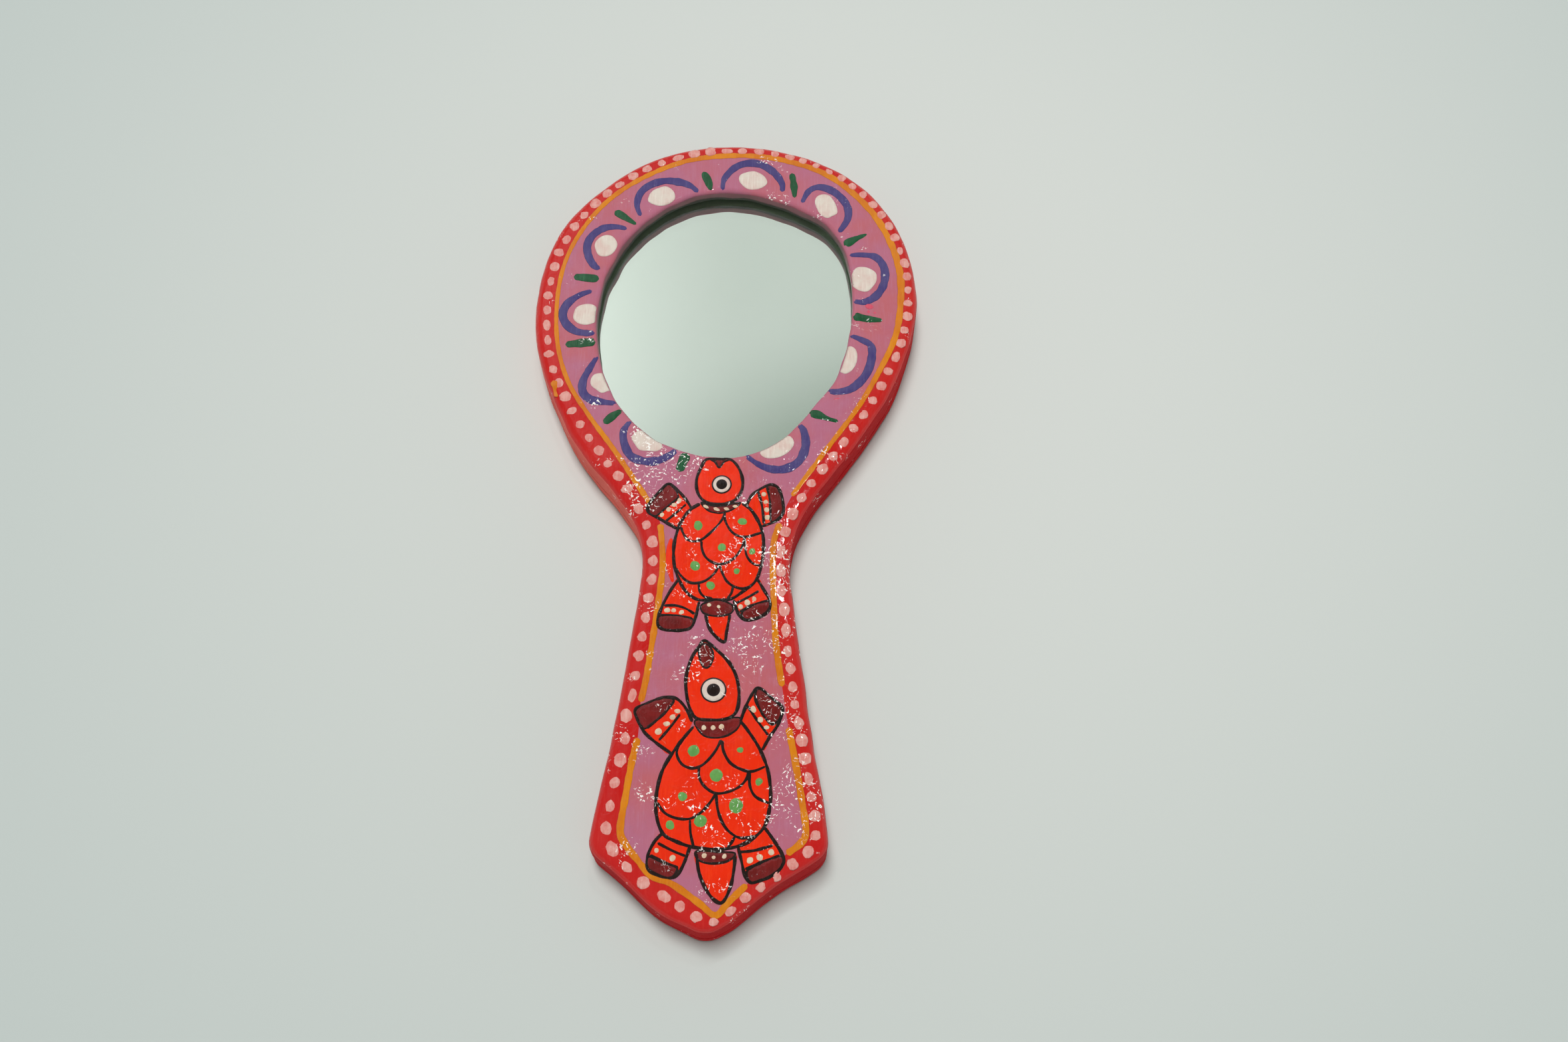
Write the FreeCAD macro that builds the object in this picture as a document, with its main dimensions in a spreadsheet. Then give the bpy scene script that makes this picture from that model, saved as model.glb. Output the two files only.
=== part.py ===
import FreeCAD, Part

import math
import os
from types import SimpleNamespace

import Sketcher
from FreeCAD import Vector

# A painted hand mirror: an oval glass held between two wooden boards of one paddle shape.
#
# The mirror lies on its back. X runs across it, Y along it with the head at +Y, and Z up through
# its thickness. The origin is on the surface under it, at the middle of its length and width.
#
# The stack, from the surface up: back board, glue film, and the front board, whose back is
# recessed for the glass. Behind the glass come its silver film, the paint that guards the silver,
# a packing card, and dabs of glue that hold the card to the back board.

# Driving dimensions in millimetres
DRIVING_SIZES = {
    # the paddle's outline: circles joined by straight runs that touch them
    "handle_length": 103.0,
    "head_rise": 85.0,
    "head_width": 116.0,
    "neck_width": 41.5,
    "neck_radius": 32.0,
    "foot_width": 63.0,
    "foot_from_tip": 25.5,
    "foot_corner_radius": 6.0,
    "tip_radius": 6.0,
    # the boards and the glue between them
    "back_thickness": 5.0,
    "glue_thickness": 0.2,
    "glue_setback": 0.5,
    "front_edge_round": 3.5,
    "back_edge_round": 1.5,
    # what the front board leaves round its oval opening, and in front of the glass
    "side_border": 19.5,
    "top_border": 17.5,
    "neck_border": 33.5,
    "lip_thickness": 4.5,
    "lip_round": 1.2,
    # the mirror and what backs it
    "glass_lap": 5.0,
    "glass_clearance": 0.5,
    "glass_thickness": 3.0,
    "silver_thickness": 0.1,
    "silver_paint_thickness": 0.2,
    "card_thickness": 1.2,
    "card_setback": 1.0,
    "dab_thickness": 1.2,
    "dab_diameter": 12.0,
    "dab_edge_margin": 12.0,
}

SHEET = "Sizes"
OUT_FOLDER = "parts"
TOLERANCE = 1e-6


class Length:
    """A length in millimetres, with the expression that gives it in the document."""

    def __init__(self, value, text):
        self.value = value
        self.text = text

    def __add__(self, other):
        return Length(self.value + other.value, f"({self.text} + {other.text})")

    def __sub__(self, other):
        return Length(self.value - other.value, f"({self.text} - {other.text})")

    def __mul__(self, factor):
        return Length(self.value * factor, f"({self.text} * {factor})")


def make_sheet(document):
    """The spreadsheet of driving dimensions, one named cell each."""
    table = document.addObject("Spreadsheet::Sheet", SHEET)
    for row, (name, value) in enumerate(DRIVING_SIZES.items(), start=1):
        table.set(f"A{row}", name)
        table.set(f"B{row}", str(value))
        table.setAlias(f"B{row}", name)
    document.recompute()
    return table


doc = FreeCAD.newDocument("HandMirror")
sheet = make_sheet(doc)
size = SimpleNamespace(
    **{name: Length(float(sheet.get(name)), f"{SHEET}.{name}") for name in DRIVING_SIZES}
)
NONE = Length(0.0, "0")

# Places along Y. The handle runs from the tip to the neck, where the paddle is narrowest.
head_radius = size.head_width * 0.5
overall_length = size.handle_length + size.head_rise + head_radius
tip_y = overall_length * -0.5
neck_y = tip_y + size.handle_length
head_y = neck_y + size.head_rise
foot_y = tip_y + size.foot_from_tip

# The opening, and the room that the glass takes behind it
opening_half_width = head_radius - size.side_border
opening_half_height = (size.head_rise + head_radius - size.top_border - size.neck_border) * 0.5
opening_y = neck_y + size.neck_border + opening_half_height
recess_growth = size.glass_lap + size.glass_clearance

# Heights of the stack. The recess is as deep as what it holds, less the glue film's thickness.
card_base = size.back_thickness + size.dab_thickness
silver_paint_base = card_base + size.card_thickness
silver_base = silver_paint_base + size.silver_paint_thickness
glass_base = silver_base + size.silver_thickness
glass_top = glass_base + size.glass_thickness
front_base = size.back_thickness + size.glue_thickness
recess_depth = glass_top - front_base
front_thickness = recess_depth + size.lip_thickness


# The outline

class OutlineCircle:
    """A circle that the outline follows: convex where it bulges out, hollow at the neck."""

    def __init__(self, centre_x, centre_y, radius, convex=True):
        self.centre_x = centre_x
        self.centre_y = centre_y
        self.radius = radius
        self.convex = convex
        self.centre = Vector(centre_x.value, centre_y.value, 0)
        self.signed = radius.value if convex else -radius.value


def outline_circles(setback):
    """The six circles, anticlockwise from the head, with the outline drawn in by the setback."""
    head = OutlineCircle(NONE, head_y, head_radius - setback)
    tip = OutlineCircle(NONE, tip_y + size.tip_radius, size.tip_radius - setback)
    neck_x = size.neck_width * 0.5 + size.neck_radius
    corner_x = size.foot_width * 0.5 - size.foot_corner_radius

    def neck(side):
        return OutlineCircle(neck_x * side, neck_y, size.neck_radius + setback, convex=False)

    def corner(side):
        return OutlineCircle(corner_x * side, foot_y, size.foot_corner_radius - setback)

    return [head, neck(-1), corner(-1), tip, corner(1), neck(1)]


def touching_line(first, second):
    """The straight run that leaves one circle and meets the next. Convex circles lie on its left
    and hollow ones on its right."""
    between = second.centre - first.centre
    slope = math.atan2(between.y, between.x)
    heading = slope - math.asin((second.signed - first.signed) / between.Length)
    left = Vector(-math.sin(heading), math.cos(heading), 0)
    return first.centre - left * first.signed, second.centre - left * second.signed


# A sketch's own axes, and the points of a curve, by the places that a sketch counts them in
X_AXIS, Y_AXIS = range(-1, -3, -1)
START, FINISH, CENTRE = range(1, 4)
ORIGIN_POINT = (X_AXIS, START)


def arc_between(circle, arrival, departure):
    """The arc of a circle from one point to another, and which of its ends they are.
    Arcs run anticlockwise, so the outline follows a hollow circle's arc backwards."""
    start, finish = (arrival, departure) if circle.convex else (departure, arrival)
    angles = [math.atan2(p.y - circle.centre.y, p.x - circle.centre.x) for p in (start, finish)]
    if angles[1] < angles[0]:
        angles[1] += 2 * math.pi
    whole = Part.Circle(circle.centre, Vector(0, 0, 1), circle.radius.value)
    ends = (START, FINISH) if circle.convex else (FINISH, START)
    return Part.ArcOfCircle(whole, *angles), ends


# Sketches

def origin_plane(body, role):
    """One of a body's own origin planes."""
    return next(f for f in body.Origin.OriginFeatures if f.Role == role)


def sketch_on_base(body, name):
    """An empty sketch on a body's own XY plane."""
    sketch = body.newObject("Sketcher::SketchObject", name)
    sketch.AttachmentSupport = [(origin_plane(body, "XY_Plane"), "")]
    sketch.MapMode = "FlatFace"
    return sketch


def dimension(sketch, length, *definition):
    """Adds a dimension to a sketch and binds it to a length's expression."""
    index = sketch.addConstraint(Sketcher.Constraint(*definition, length.value))
    sketch.setExpression(f"Constraints[{index}]", length.text)


def place_centre(sketch, curve, centre_x, centre_y):
    """Fixes a curve's centre. One that belongs on the long axis is held to that axis."""
    if centre_x is NONE:
        sketch.addConstraint(Sketcher.Constraint("PointOnObject", curve, CENTRE, Y_AXIS))
    else:
        dimension(sketch, centre_x, "DistanceX", *ORIGIN_POINT, curve, CENTRE)
    dimension(sketch, centre_y, "DistanceY", *ORIGIN_POINT, curve, CENTRE)


def outline_sketch(body, name, setback=NONE):
    """The paddle's outline, as arcs and straight runs that touch end to end."""
    circles = outline_circles(setback)
    runs = [touching_line(c, circles[(i + 1) % len(circles)]) for i, c in enumerate(circles)]
    sketch = sketch_on_base(body, name)
    chain = []
    for i, circle in enumerate(circles):
        arc, ends = arc_between(circle, runs[i - 1][1], runs[i][0])
        arc_index = sketch.addGeometry(arc, False)
        line_index = sketch.addGeometry(Part.LineSegment(*runs[i]), False)
        chain.append((arc_index, *ends))
        chain.append((line_index, START, FINISH))
        place_centre(sketch, arc_index, circle.centre_x, circle.centre_y)
        dimension(sketch, circle.radius, "Radius", arc_index)
    for i, (piece, _, leaving) in enumerate(chain):
        following, meeting, _ = chain[(i + 1) % len(chain)]
        sketch.addConstraint(Sketcher.Constraint("Tangent", piece, leaving, following, meeting))
    return sketch


def oval_sketch(body, name, growth=NONE):
    """An oval round the opening's middle, larger all round than the opening by the growth."""
    half_width = opening_half_width + growth
    half_height = opening_half_height + growth
    middle = Vector(0, opening_y.value, 0)
    side_point = middle + Vector(half_width.value, 0, 0)
    top_point = middle + Vector(0, half_height.value, 0)
    if half_height.value > half_width.value:
        points, lengths, direction = (top_point, side_point), (half_height, half_width), "Vertical"
    else:
        points, lengths, direction = (side_point, top_point), (half_width, half_height), "Horizontal"

    sketch = sketch_on_base(body, name)
    oval = sketch.addGeometry(Part.Ellipse(*points, middle), False)
    sketch.exposeInternalGeometry(oval)
    axes = (oval + 1, oval + 2)
    place_centre(sketch, oval, NONE, opening_y)
    sketch.addConstraint(Sketcher.Constraint(direction, axes[0]))
    for axis, half_length in zip(axes, lengths):
        dimension(sketch, half_length * 2, "Distance", axis)
    return sketch


# Features

def new_body(label, base):
    """A body whose own base stands at a height above the surface."""
    body = doc.addObject("PartDesign::Body", label)
    body.Label = label
    body.setExpression("Placement.Base.z", base.text)
    return body


def pad(body, sketch, thickness):
    """The sketch raised to a thickness."""
    feature = body.newObject("PartDesign::Pad", f"{body.Label}_pad")
    feature.Profile = sketch
    feature.setExpression("Length", thickness.text)
    doc.recompute()
    return feature


def pocket_up(body, sketch, name, depth):
    """The sketch cut up into the body from its base. The cut has to take something away."""
    before = body.Shape.Volume
    feature = body.newObject("PartDesign::Pocket", f"{body.Label}_{name}")
    feature.Profile = sketch
    feature.Reversed = True
    feature.setExpression("Length", depth.text)
    doc.recompute()
    if body.Shape.Volume > before - TOLERANCE:
        raise RuntimeError(f"{feature.Name} cuts nothing")
    return feature


def level_edges(shape, height, oval):
    """Names of the level edges at a height, either the oval one or those along the outline."""
    names = []
    for number, edge in enumerate(shape.Edges, start=1):
        box = edge.BoundBox
        level = abs(box.ZMin - height) < TOLERANCE and abs(box.ZMax - height) < TOLERANCE
        if level and isinstance(edge.Curve, Part.Ellipse) == oval:
            names.append(f"Edge{number}")
    return names


def round_over(body, feature, name, edge_names, radius):
    """Rounds the named edges of a feature."""
    rounding = body.newObject("PartDesign::Fillet", f"{body.Label}_{name}")
    rounding.Base = (feature, edge_names)
    rounding.setExpression("Radius", radius.text)
    doc.recompute()
    return rounding


# Sub-parts

def make_back_board():
    """The plain board that closes the back, eased along its lower edge."""
    body = new_body("back_board", NONE)
    board = pad(body, outline_sketch(body, "back_outline"), size.back_thickness)
    lower_edges = level_edges(board.Shape, 0, oval=False)
    round_over(body, board, "edge_round", lower_edges, size.back_edge_round)
    return body


def make_glue_film():
    """The film of glue between the boards. It stops short of their edge and of the recess."""
    body = new_body("glue_film", size.back_thickness)
    pad(body, outline_sketch(body, "glue_outline", size.glue_setback), size.glue_thickness)
    window = oval_sketch(body, "glue_window", recess_growth + size.glue_setback)
    pocket_up(body, window, "window", size.glue_thickness)
    return body


def make_front_board():
    """The board with the oval opening, recessed behind for the glass and rounded in front."""
    body = new_body("front_board", front_base)
    pad(body, outline_sketch(body, "front_outline"), front_thickness)
    pocket_up(body, oval_sketch(body, "opening_oval"), "opening", front_thickness)
    cut = pocket_up(body, oval_sketch(body, "recess_oval", recess_growth), "recess", recess_depth)
    outer_edges = level_edges(cut.Shape, front_thickness.value, oval=False)
    rounded = round_over(body, cut, "edge_round", outer_edges, size.front_edge_round)
    lip_edge = level_edges(rounded.Shape, front_thickness.value, oval=True)
    round_over(body, rounded, "lip_round", lip_edge, size.lip_round)
    return body


def make_oval_layer(label, base, thickness, setback=NONE):
    """A flat oval layer of the mirror, as wide as the glass or drawn in by a setback."""
    body = new_body(label, base)
    pad(body, oval_sketch(body, f"{label}_oval", size.glass_lap - setback), thickness)
    return body


def make_glue_dabs():
    """Four dabs of glue between the back board and the packing card, inside the card's edge."""
    body = new_body("glue_dabs", size.back_thickness)
    sketch = sketch_on_base(body, "dab_circles")
    reach_x = opening_half_width + size.glass_lap - size.dab_edge_margin
    reach_y = opening_half_height + size.glass_lap - size.dab_edge_margin
    radius = size.dab_diameter * 0.5
    centres = [
        (reach_x, opening_y),
        (reach_x * -1, opening_y),
        (NONE, opening_y + reach_y),
        (NONE, opening_y - reach_y),
    ]
    for centre_x, centre_y in centres:
        centre = Vector(centre_x.value, centre_y.value, 0)
        circle = sketch.addGeometry(Part.Circle(centre, Vector(0, 0, 1), radius.value), False)
        place_centre(sketch, circle, centre_x, centre_y)
        dimension(sketch, radius, "Radius", circle)
    pad(body, sketch, size.dab_thickness)
    return body


sub_parts = [
    make_back_board(),
    make_glue_film(),
    make_front_board(),
    make_oval_layer("mirror_glass", glass_base, size.glass_thickness),
    make_oval_layer("silver_film", silver_base, size.silver_thickness),
    make_oval_layer("silver_paint", silver_paint_base, size.silver_paint_thickness),
    make_oval_layer("packing_card", card_base, size.card_thickness, size.card_setback),
    make_glue_dabs(),
]
doc.recompute()


# Checks and export

def check_document():
    """Stops with a message if any object failed, or a sub-part's shape is empty or not valid."""
    for thing in doc.Objects:
        if "Invalid" in thing.State or "Error" in thing.State:
            raise RuntimeError(f"{thing.Name} failed: {thing.State}")
    for part in sub_parts:
        if part.Shape.isNull() or not part.Shape.isValid() or not part.Shape.Solids:
            raise RuntimeError(f"{part.Label} has no valid solid")


check_document()
os.makedirs(OUT_FOLDER, exist_ok=True)
for part in sub_parts:
    box = part.Shape.BoundBox
    print(
        f"{part.Label}: {len(part.Shape.Solids)} solid(s), {part.Shape.Volume:.1f} mm3, "
        f"z {box.ZMin:.2f} to {box.ZMax:.2f}"
    )
    part.Shape.exportStep(os.path.join(OUT_FOLDER, f"{part.Label}.step"))
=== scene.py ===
# %% [markdown]
# # A painted hand mirror
# The real mirror is a paddle of two thin boards. A folk painter sawed it out by hand, set an oval
# glass behind the front board, painted everything in gloss colours and varnished it. The CAD model
# gives the true boards and glass as a fixed frame, and this lesson dresses that frame for the eye.
# Lengths on the mirror are written in millimetres and turned to metres when a mesh is made.

# %% Load the CAD model
import math

import bmesh
import bpy
import numpy as np
from mathutils import Matrix, Vector, geometry, noise
from mathutils.bvhtree import BVHTree


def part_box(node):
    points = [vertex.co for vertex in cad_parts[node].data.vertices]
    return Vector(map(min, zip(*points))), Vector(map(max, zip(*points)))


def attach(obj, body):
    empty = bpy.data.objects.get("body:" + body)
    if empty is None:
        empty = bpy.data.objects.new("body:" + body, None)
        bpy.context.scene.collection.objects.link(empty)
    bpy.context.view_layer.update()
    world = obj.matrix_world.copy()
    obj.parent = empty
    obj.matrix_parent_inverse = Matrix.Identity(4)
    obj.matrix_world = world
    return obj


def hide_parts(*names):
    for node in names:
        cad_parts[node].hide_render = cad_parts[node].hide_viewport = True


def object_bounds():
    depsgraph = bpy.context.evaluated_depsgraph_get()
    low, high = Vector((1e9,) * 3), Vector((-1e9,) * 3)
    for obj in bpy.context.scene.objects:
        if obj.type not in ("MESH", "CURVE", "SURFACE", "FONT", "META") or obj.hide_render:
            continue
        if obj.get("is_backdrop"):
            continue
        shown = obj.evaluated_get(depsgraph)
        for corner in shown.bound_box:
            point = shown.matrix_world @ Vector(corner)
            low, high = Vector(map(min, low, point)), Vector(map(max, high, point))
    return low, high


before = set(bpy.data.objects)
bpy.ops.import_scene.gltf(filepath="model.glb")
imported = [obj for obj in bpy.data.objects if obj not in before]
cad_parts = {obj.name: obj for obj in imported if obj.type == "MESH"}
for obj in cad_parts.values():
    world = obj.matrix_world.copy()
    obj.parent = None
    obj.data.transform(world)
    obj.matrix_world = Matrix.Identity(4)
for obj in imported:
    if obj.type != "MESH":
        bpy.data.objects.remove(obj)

MM = 0.001
scene = bpy.context.scene
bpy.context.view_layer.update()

# %% [markdown]
# ## Camera
# The mirror was photographed from above its handle, looking down at about 67 degrees. The place and
# the two directions below describe that camera in the object's own frame. A matrix made from the
# three directions is safer than Euler angles, because nothing has to be turned in a certain order.


# %% Camera
def add_object(name, data):
    """A new object that holds the data, in the scene."""
    made = bpy.data.objects.new(name, data)
    scene.collection.objects.link(made)
    return made


camera_data = bpy.data.cameras.new("photo_camera")
camera_data.sensor_width = 36
camera_data.lens = 38.15
camera_data.clip_start = 0.01
camera_place = Vector((21.8, -191.4, 450.5)) * MM
look = Vector((-0.00618, 0.39218, -0.91987)).normalized()
right = Vector((0.99988, 0.01532, -0.00018)).normalized()
turn = Matrix((right, right.cross(look), -look)).transposed()
scene.camera = add_object("photo_camera", camera_data)
scene.camera.matrix_world = Matrix.Translation(camera_place) @ turn.to_4x4()
print("camera looks down at", round(math.degrees(math.asin(-look.z))), "degrees")

# %% [markdown]
# ## Floor
# The mirror lies on pale paper with a hint of green. Its colour is painted lighter round the mirror's head
# and darker away from it, a painted pool of light. One small function turns an sRGB hex value into the linear
# colour that Blender's sockets take, and one more adds a shader or geometry node with its settings and links.
# A new material already holds a Principled shader, so a finish only has to feed that shader.

# %% Helpers for colours and nodes
MATH, VECTOR_MATH, SEPARATE = "ShaderNodeMath", "ShaderNodeVectorMath", "ShaderNodeSeparateXYZ"
NOISE, RANGE, MIX, BUMP = "ShaderNodeTexNoise", "ShaderNodeMapRange", "ShaderNodeMix", "ShaderNodeBump"


def hex_colour(code):
    """An sRGB hex value as a linear colour."""
    parts = [int(code[i:i + 2], 16) / 255 for i in (1, 3, 5)]
    return tuple(c / 12.92 if c <= 0.04045 else ((c + 0.055) / 1.055) ** 2.4 for c in parts) + (1.0,)


def feed(tree, node, inputs):
    """Sets a node's inputs: a value, a hex colour, a socket, or a node, whose first live output is used."""
    for name, value in inputs.items():
        if isinstance(value, bpy.types.Node):
            value = next(socket for socket in value.outputs if socket.enabled)
        if isinstance(value, bpy.types.NodeSocket):
            tree.links.new(value, node.inputs[name])
        else:
            is_colour = isinstance(value, str) and value.startswith("#")
            node.inputs[name].default_value = hex_colour(value) if is_colour else value


def add_node(tree, kind, inputs=None, **settings):
    """Adds a node with its settings, and feeds its inputs."""
    made = tree.nodes.new(kind)
    for name, value in settings.items():
        setattr(made, name, value)
    feed(tree, made, inputs or {})
    return made


# %% Helpers for materials
def every(size):
    """The scale of a noise whose lumps are about so many millimetres apart."""
    return 1 / (size * MM)


def new_finish(name):
    """A material, its node tree, its shader, and the Object coordinates that its patterns read."""
    finish = bpy.data.materials.new(name)
    finish.use_nodes = True
    tree = finish.node_tree
    place = add_node(tree, "ShaderNodeTexCoord").outputs["Object"]
    return finish, tree, tree.nodes["Principled BSDF"], place


def nearness(tree, place, centre, full, end, most=1.0, fade="SMOOTHSTEP"):
    """A value that is most within the full distance of a centre, and fades to nothing at the end distance."""
    away = add_node(tree, VECTOR_MATH, {0: place, 1: centre}, operation="DISTANCE")
    return add_node(tree, RANGE, {"Value": away, "From Min": full, "From Max": end, "To Min": most,
                                  "To Max": 0.0}, interpolation_type=fade)


# %% Floor
FLOOR_HALF = 2.5                        # half the width of the paper, m
TOOTH, TOOTH_RISE = 0.8, 0.05           # the paper's fine grain, mm
# Where the painted pool of light lies, and where it is full and where it ends: the paper's colour is lighter
# there.
PAINTED_LIGHT_PLACE = Vector((43, 67, 0)) * MM
PAINTED_LIGHT_FULL, PAINTED_LIGHT_END = 29 * MM, 424 * MM

# Pale paper gives the eye a dull, faintly green ground, with a painted pool of light round the mirror's head.
paper, tree, shader, place = new_finish("pale_paper")
tooth = add_node(tree, NOISE, {"Vector": place, "Scale": every(TOOTH), "Detail": 3.0})
painted_light_pool = nearness(tree, place, PAINTED_LIGHT_PLACE, PAINTED_LIGHT_FULL, PAINTED_LIGHT_END)
tint = add_node(tree, MIX, {"Factor": painted_light_pool, "A": "#B8C2BE", "B": "#D0D4CF"}, data_type="RGBA")
rise = add_node(tree, BUMP, {"Height": tooth, "Strength": 0.15, "Distance": TOOTH_RISE * MM})
feed(tree, shader, {"Base Color": tint, "Roughness": 0.8, "Normal": rise})

corners = [(x * FLOOR_HALF, y * FLOOR_HALF, 0) for x, y in ((-1, -1), (1, -1), (1, 1), (-1, 1))]
floor_mesh = bpy.data.meshes.new("floor")
floor_mesh.from_pydata(corners, [], [(0, 1, 2, 3)])
floor_mesh.materials.append(paper)
floor = add_object("floor", floor_mesh)
floor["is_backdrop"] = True
print("floor", 2 * FLOOR_HALF, "m wide")

# %% [markdown]
# ## Light
# The photograph's light is soft. The shadow shows below the foot and a little to the right, so the main
# lamp is wide and hangs almost overhead, a little towards the head and the left. Gloss doesn't show it.
# What gloss and the glass show is a room, grey overhead and paler lower down, with two pale spots and a
# dark one. Dull surfaces get a plainer fill from that room, so the world asks what kind of ray it meets.
# One tiny lamp is there only for the sparkle on the wrinkled varnish.

# %% World
CEILING, WALLS = (0.38, 0.39, 0.38, 1.0), (0.85, 0.86, 0.85, 1.0)
WALL_FULL, WALL_END = 0.1, 0.45     # walls turn into ceiling between these, 0 being level and 1 overhead
# What dull surfaces get: little from above, where the lamp does the work, and more from the sides.
FILL_ABOVE, FILL_ROUND = (0.20, 0.205, 0.20, 1.0), (1.20, 1.21, 1.20, 1.0)
# Each spot is its radiance, where it lies, and the distances where it is full and where it ends.
ROOM_SPOTS = (((0.77, 0.76, 0.77, 1.0), (-0.05, 0.56, 0.83), 0.20, 0.50),
              ((1.30, 1.28, 1.30, 1.0), (-0.26, 0.49, 0.83), 0.04, 0.24),
              ((0.20, 0.25, 0.21, 1.0), (0.125, 0.21, 0.97), 0.21, 0.34))

scene.world = bpy.data.worlds.new("pale_room")
scene.world.use_nodes = True
tree = scene.world.node_tree
direction = add_node(tree, "ShaderNodeTexCoord").outputs["Generated"]
rise = add_node(tree, SEPARATE, {0: direction})
low = add_node(tree, RANGE, {"Value": rise.outputs["Z"], "From Min": WALL_FULL, "From Max": WALL_END,
                             "To Min": 1.0, "To Max": 0.0}, interpolation_type="SMOOTHSTEP")
room = add_node(tree, MIX, {"Factor": low, "A": CEILING, "B": WALLS}, data_type="RGBA")
for radiance, towards, full, end in ROOM_SPOTS:
    near = nearness(tree, direction, Vector(towards).normalized(), full, end)
    room = add_node(tree, MIX, {"Factor": near, "A": room, "B": radiance}, data_type="RGBA")
fill = add_node(tree, MIX, {"Factor": low, "A": FILL_ABOVE, "B": FILL_ROUND}, data_type="RGBA")
ray = add_node(tree, "ShaderNodeLightPath")
seen = add_node(tree, MIX, {"Factor": ray.outputs["Is Diffuse Ray"], "A": room, "B": fill}, data_type="RGBA")
feed(tree, tree.nodes["Background"], {"Color": seen})
print("room with", len(ROOM_SPOTS), "spots")


# %% Lamps
def add_lamp(name, at, width, length, watts, mirrored):
    """A lamp at a place in metres, aimed at the mirror's middle, which gloss shows or doesn't."""
    data = bpy.data.lights.new(name, "AREA")
    data.shape = "RECTANGLE"
    data.size = width
    data.size_y = length
    data.energy = watts
    lamp = add_object(name, data)
    lamp.location = at
    lamp.rotation_euler = (-Vector(at)).to_track_quat("-Z", "Y").to_euler()
    lamp.visible_glossy = mirrored
    print(name, "at", at, "gives", watts, "W")


add_lamp("ceiling_light", (-0.22, 0.54, 4.0), width=0.9, length=2.0, watts=128.0, mirrored=False)
add_lamp("sparkle_lamp", (0.10, 0.42, 1.13), width=0.045, length=0.045, watts=0.5, mirrored=True)
scene.view_settings.view_transform = "Standard"

# %% [markdown]
# ## Paint and varnish
# Every colour is a hand-brushed gloss paint under the same clear varnish. The eye reads three things:
# thin and thick places in the colour, fine ridges from the brush, and a wrinkled glossy skin on top.
# One function makes them all, because only the colours and the brush marks differ. The varnish is
# the Principled shader's coat. Its wrinkles read Object coordinates, and all pieces sit at the
# origin, so the skin runs on unbroken from one painted piece to the next.

# %% Wrinkles in the varnish
# Widths and heights in mm: broad soft waves, sharp-edged creases, fine wrinkles, and long drags of the
# brush. Creases are noise cut to a narrow range, so they are flat with steep sides, and only the sides
# catch the lamp. The fine ones come in bunches, with calmer varnish between.
WAVE, WAVE_RISE = 8.0, 0.28
CREASE, CREASE_RISE = 2.6, 0.026
WRINKLE, WRINKLE_RISE = 0.7, 0.008
DRAG, DRAG_WIDTH, DRAG_RISE, DRAG_TURN = 12.0, 1.2, 0.035, 0.5
BUNCH, CALM, WILD = 11.0, 0.8, 1.5

# The varnish's group gives its wrinkles as a height and its painted glints as a mask for the colour.
varnish_skin = bpy.data.node_groups.new("varnish_skin", "ShaderNodeTree")
for label in ("Height", "Glints"):
    varnish_skin.interface.new_socket(label, in_out="OUTPUT", socket_type="NodeSocketFloat")
tree = varnish_skin
place = add_node(tree, "ShaderNodeTexCoord").outputs["Object"]
waves = add_node(tree, NOISE, {"Vector": place, "Scale": every(WAVE), "Detail": 1.0})
folds = add_node(tree, NOISE, {"Vector": place, "Scale": every(CREASE), "Detail": 2.0, "Roughness": 0.6,
                               "Distortion": 0.8})
creases = add_node(tree, RANGE, {"Value": folds, "From Min": 0.47, "From Max": 0.55},
                   interpolation_type="SMOOTHSTEP")
wrinkles = add_node(tree, NOISE, {"Vector": place, "Scale": every(WRINKLE), "Detail": 1.0})
pulled = add_node(tree, "ShaderNodeMapping", {"Vector": place, "Rotation": (0, 0, DRAG_TURN),
                                              "Scale": (1, DRAG_WIDTH / DRAG, 1)})
drags = add_node(tree, NOISE, {"Vector": pulled, "Scale": every(DRAG_WIDTH), "Detail": 1.0})
fine = 0.0
for part, rise in ((creases, CREASE_RISE), (wrinkles, WRINKLE_RISE), (drags, DRAG_RISE)):
    fine = add_node(tree, MATH, {0: part, 1: rise, 2: fine}, operation="MULTIPLY_ADD")
bunches = add_node(tree, NOISE, {"Vector": place, "Scale": every(BUNCH), "Detail": 1.0})
rough = add_node(tree, RANGE, {"Value": bunches, "From Min": 0.38, "From Max": 0.62, "To Min": CALM,
                               "To Max": WILD})
bunched = add_node(tree, MATH, {0: fine, 1: rough}, operation="MULTIPLY")
height = add_node(tree, MATH, {0: waves, 1: WAVE_RISE, 2: bunched}, operation="MULTIPLY_ADD")
print("varnish waves", WAVE, "mm wide and wrinkles", WRINKLE, "mm")

# %% Painted glints in the varnish
# Glints on the wrinkled varnish are painted into the colour, as pale dashes along its creases: how far
# apart the creases are, how long a dash is, and how wide a patch of them is, in mm. They are thickest at the
# glint places.
GLINT_APART, DASH, PATCH = 2.6, 0.85, 6.0
GLINT_LINE = 0.028       # how far from the noise's middle value still counts as a painted glint line
# Each glint place is where its middle is, how far it reaches, and how strong its painted glints are.
GLINT_PLACES = ((-17, 11, 19, 0.20), (4, -20, 24, 0.14), (19, -20, 11, 0.24), (15, -42, 15, 0.18),
               (19, -64, 11, 0.22), (22, -86, 14, 0.24), (-3, -46, 13, 0.16), (3, -92, 16, 0.15),
               (-17, -92, 12, 0.12), (14, 106, 16, 0.14), (-22, 0, 10, 0.18), (-24, -70, 12, 0.12),
               (3, -107, 9, 0.13), (15, -104, 7, 0.20))
GLINT_FULL = 0.4     # the share of its reach over which a place's painted glints are strongest
GLINT_HEIGHT = 15    # about the height of the painted face, mm

# Painted glints: thin lines along the creases' noise, broken into dashes, in patches about the glint places.
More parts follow.
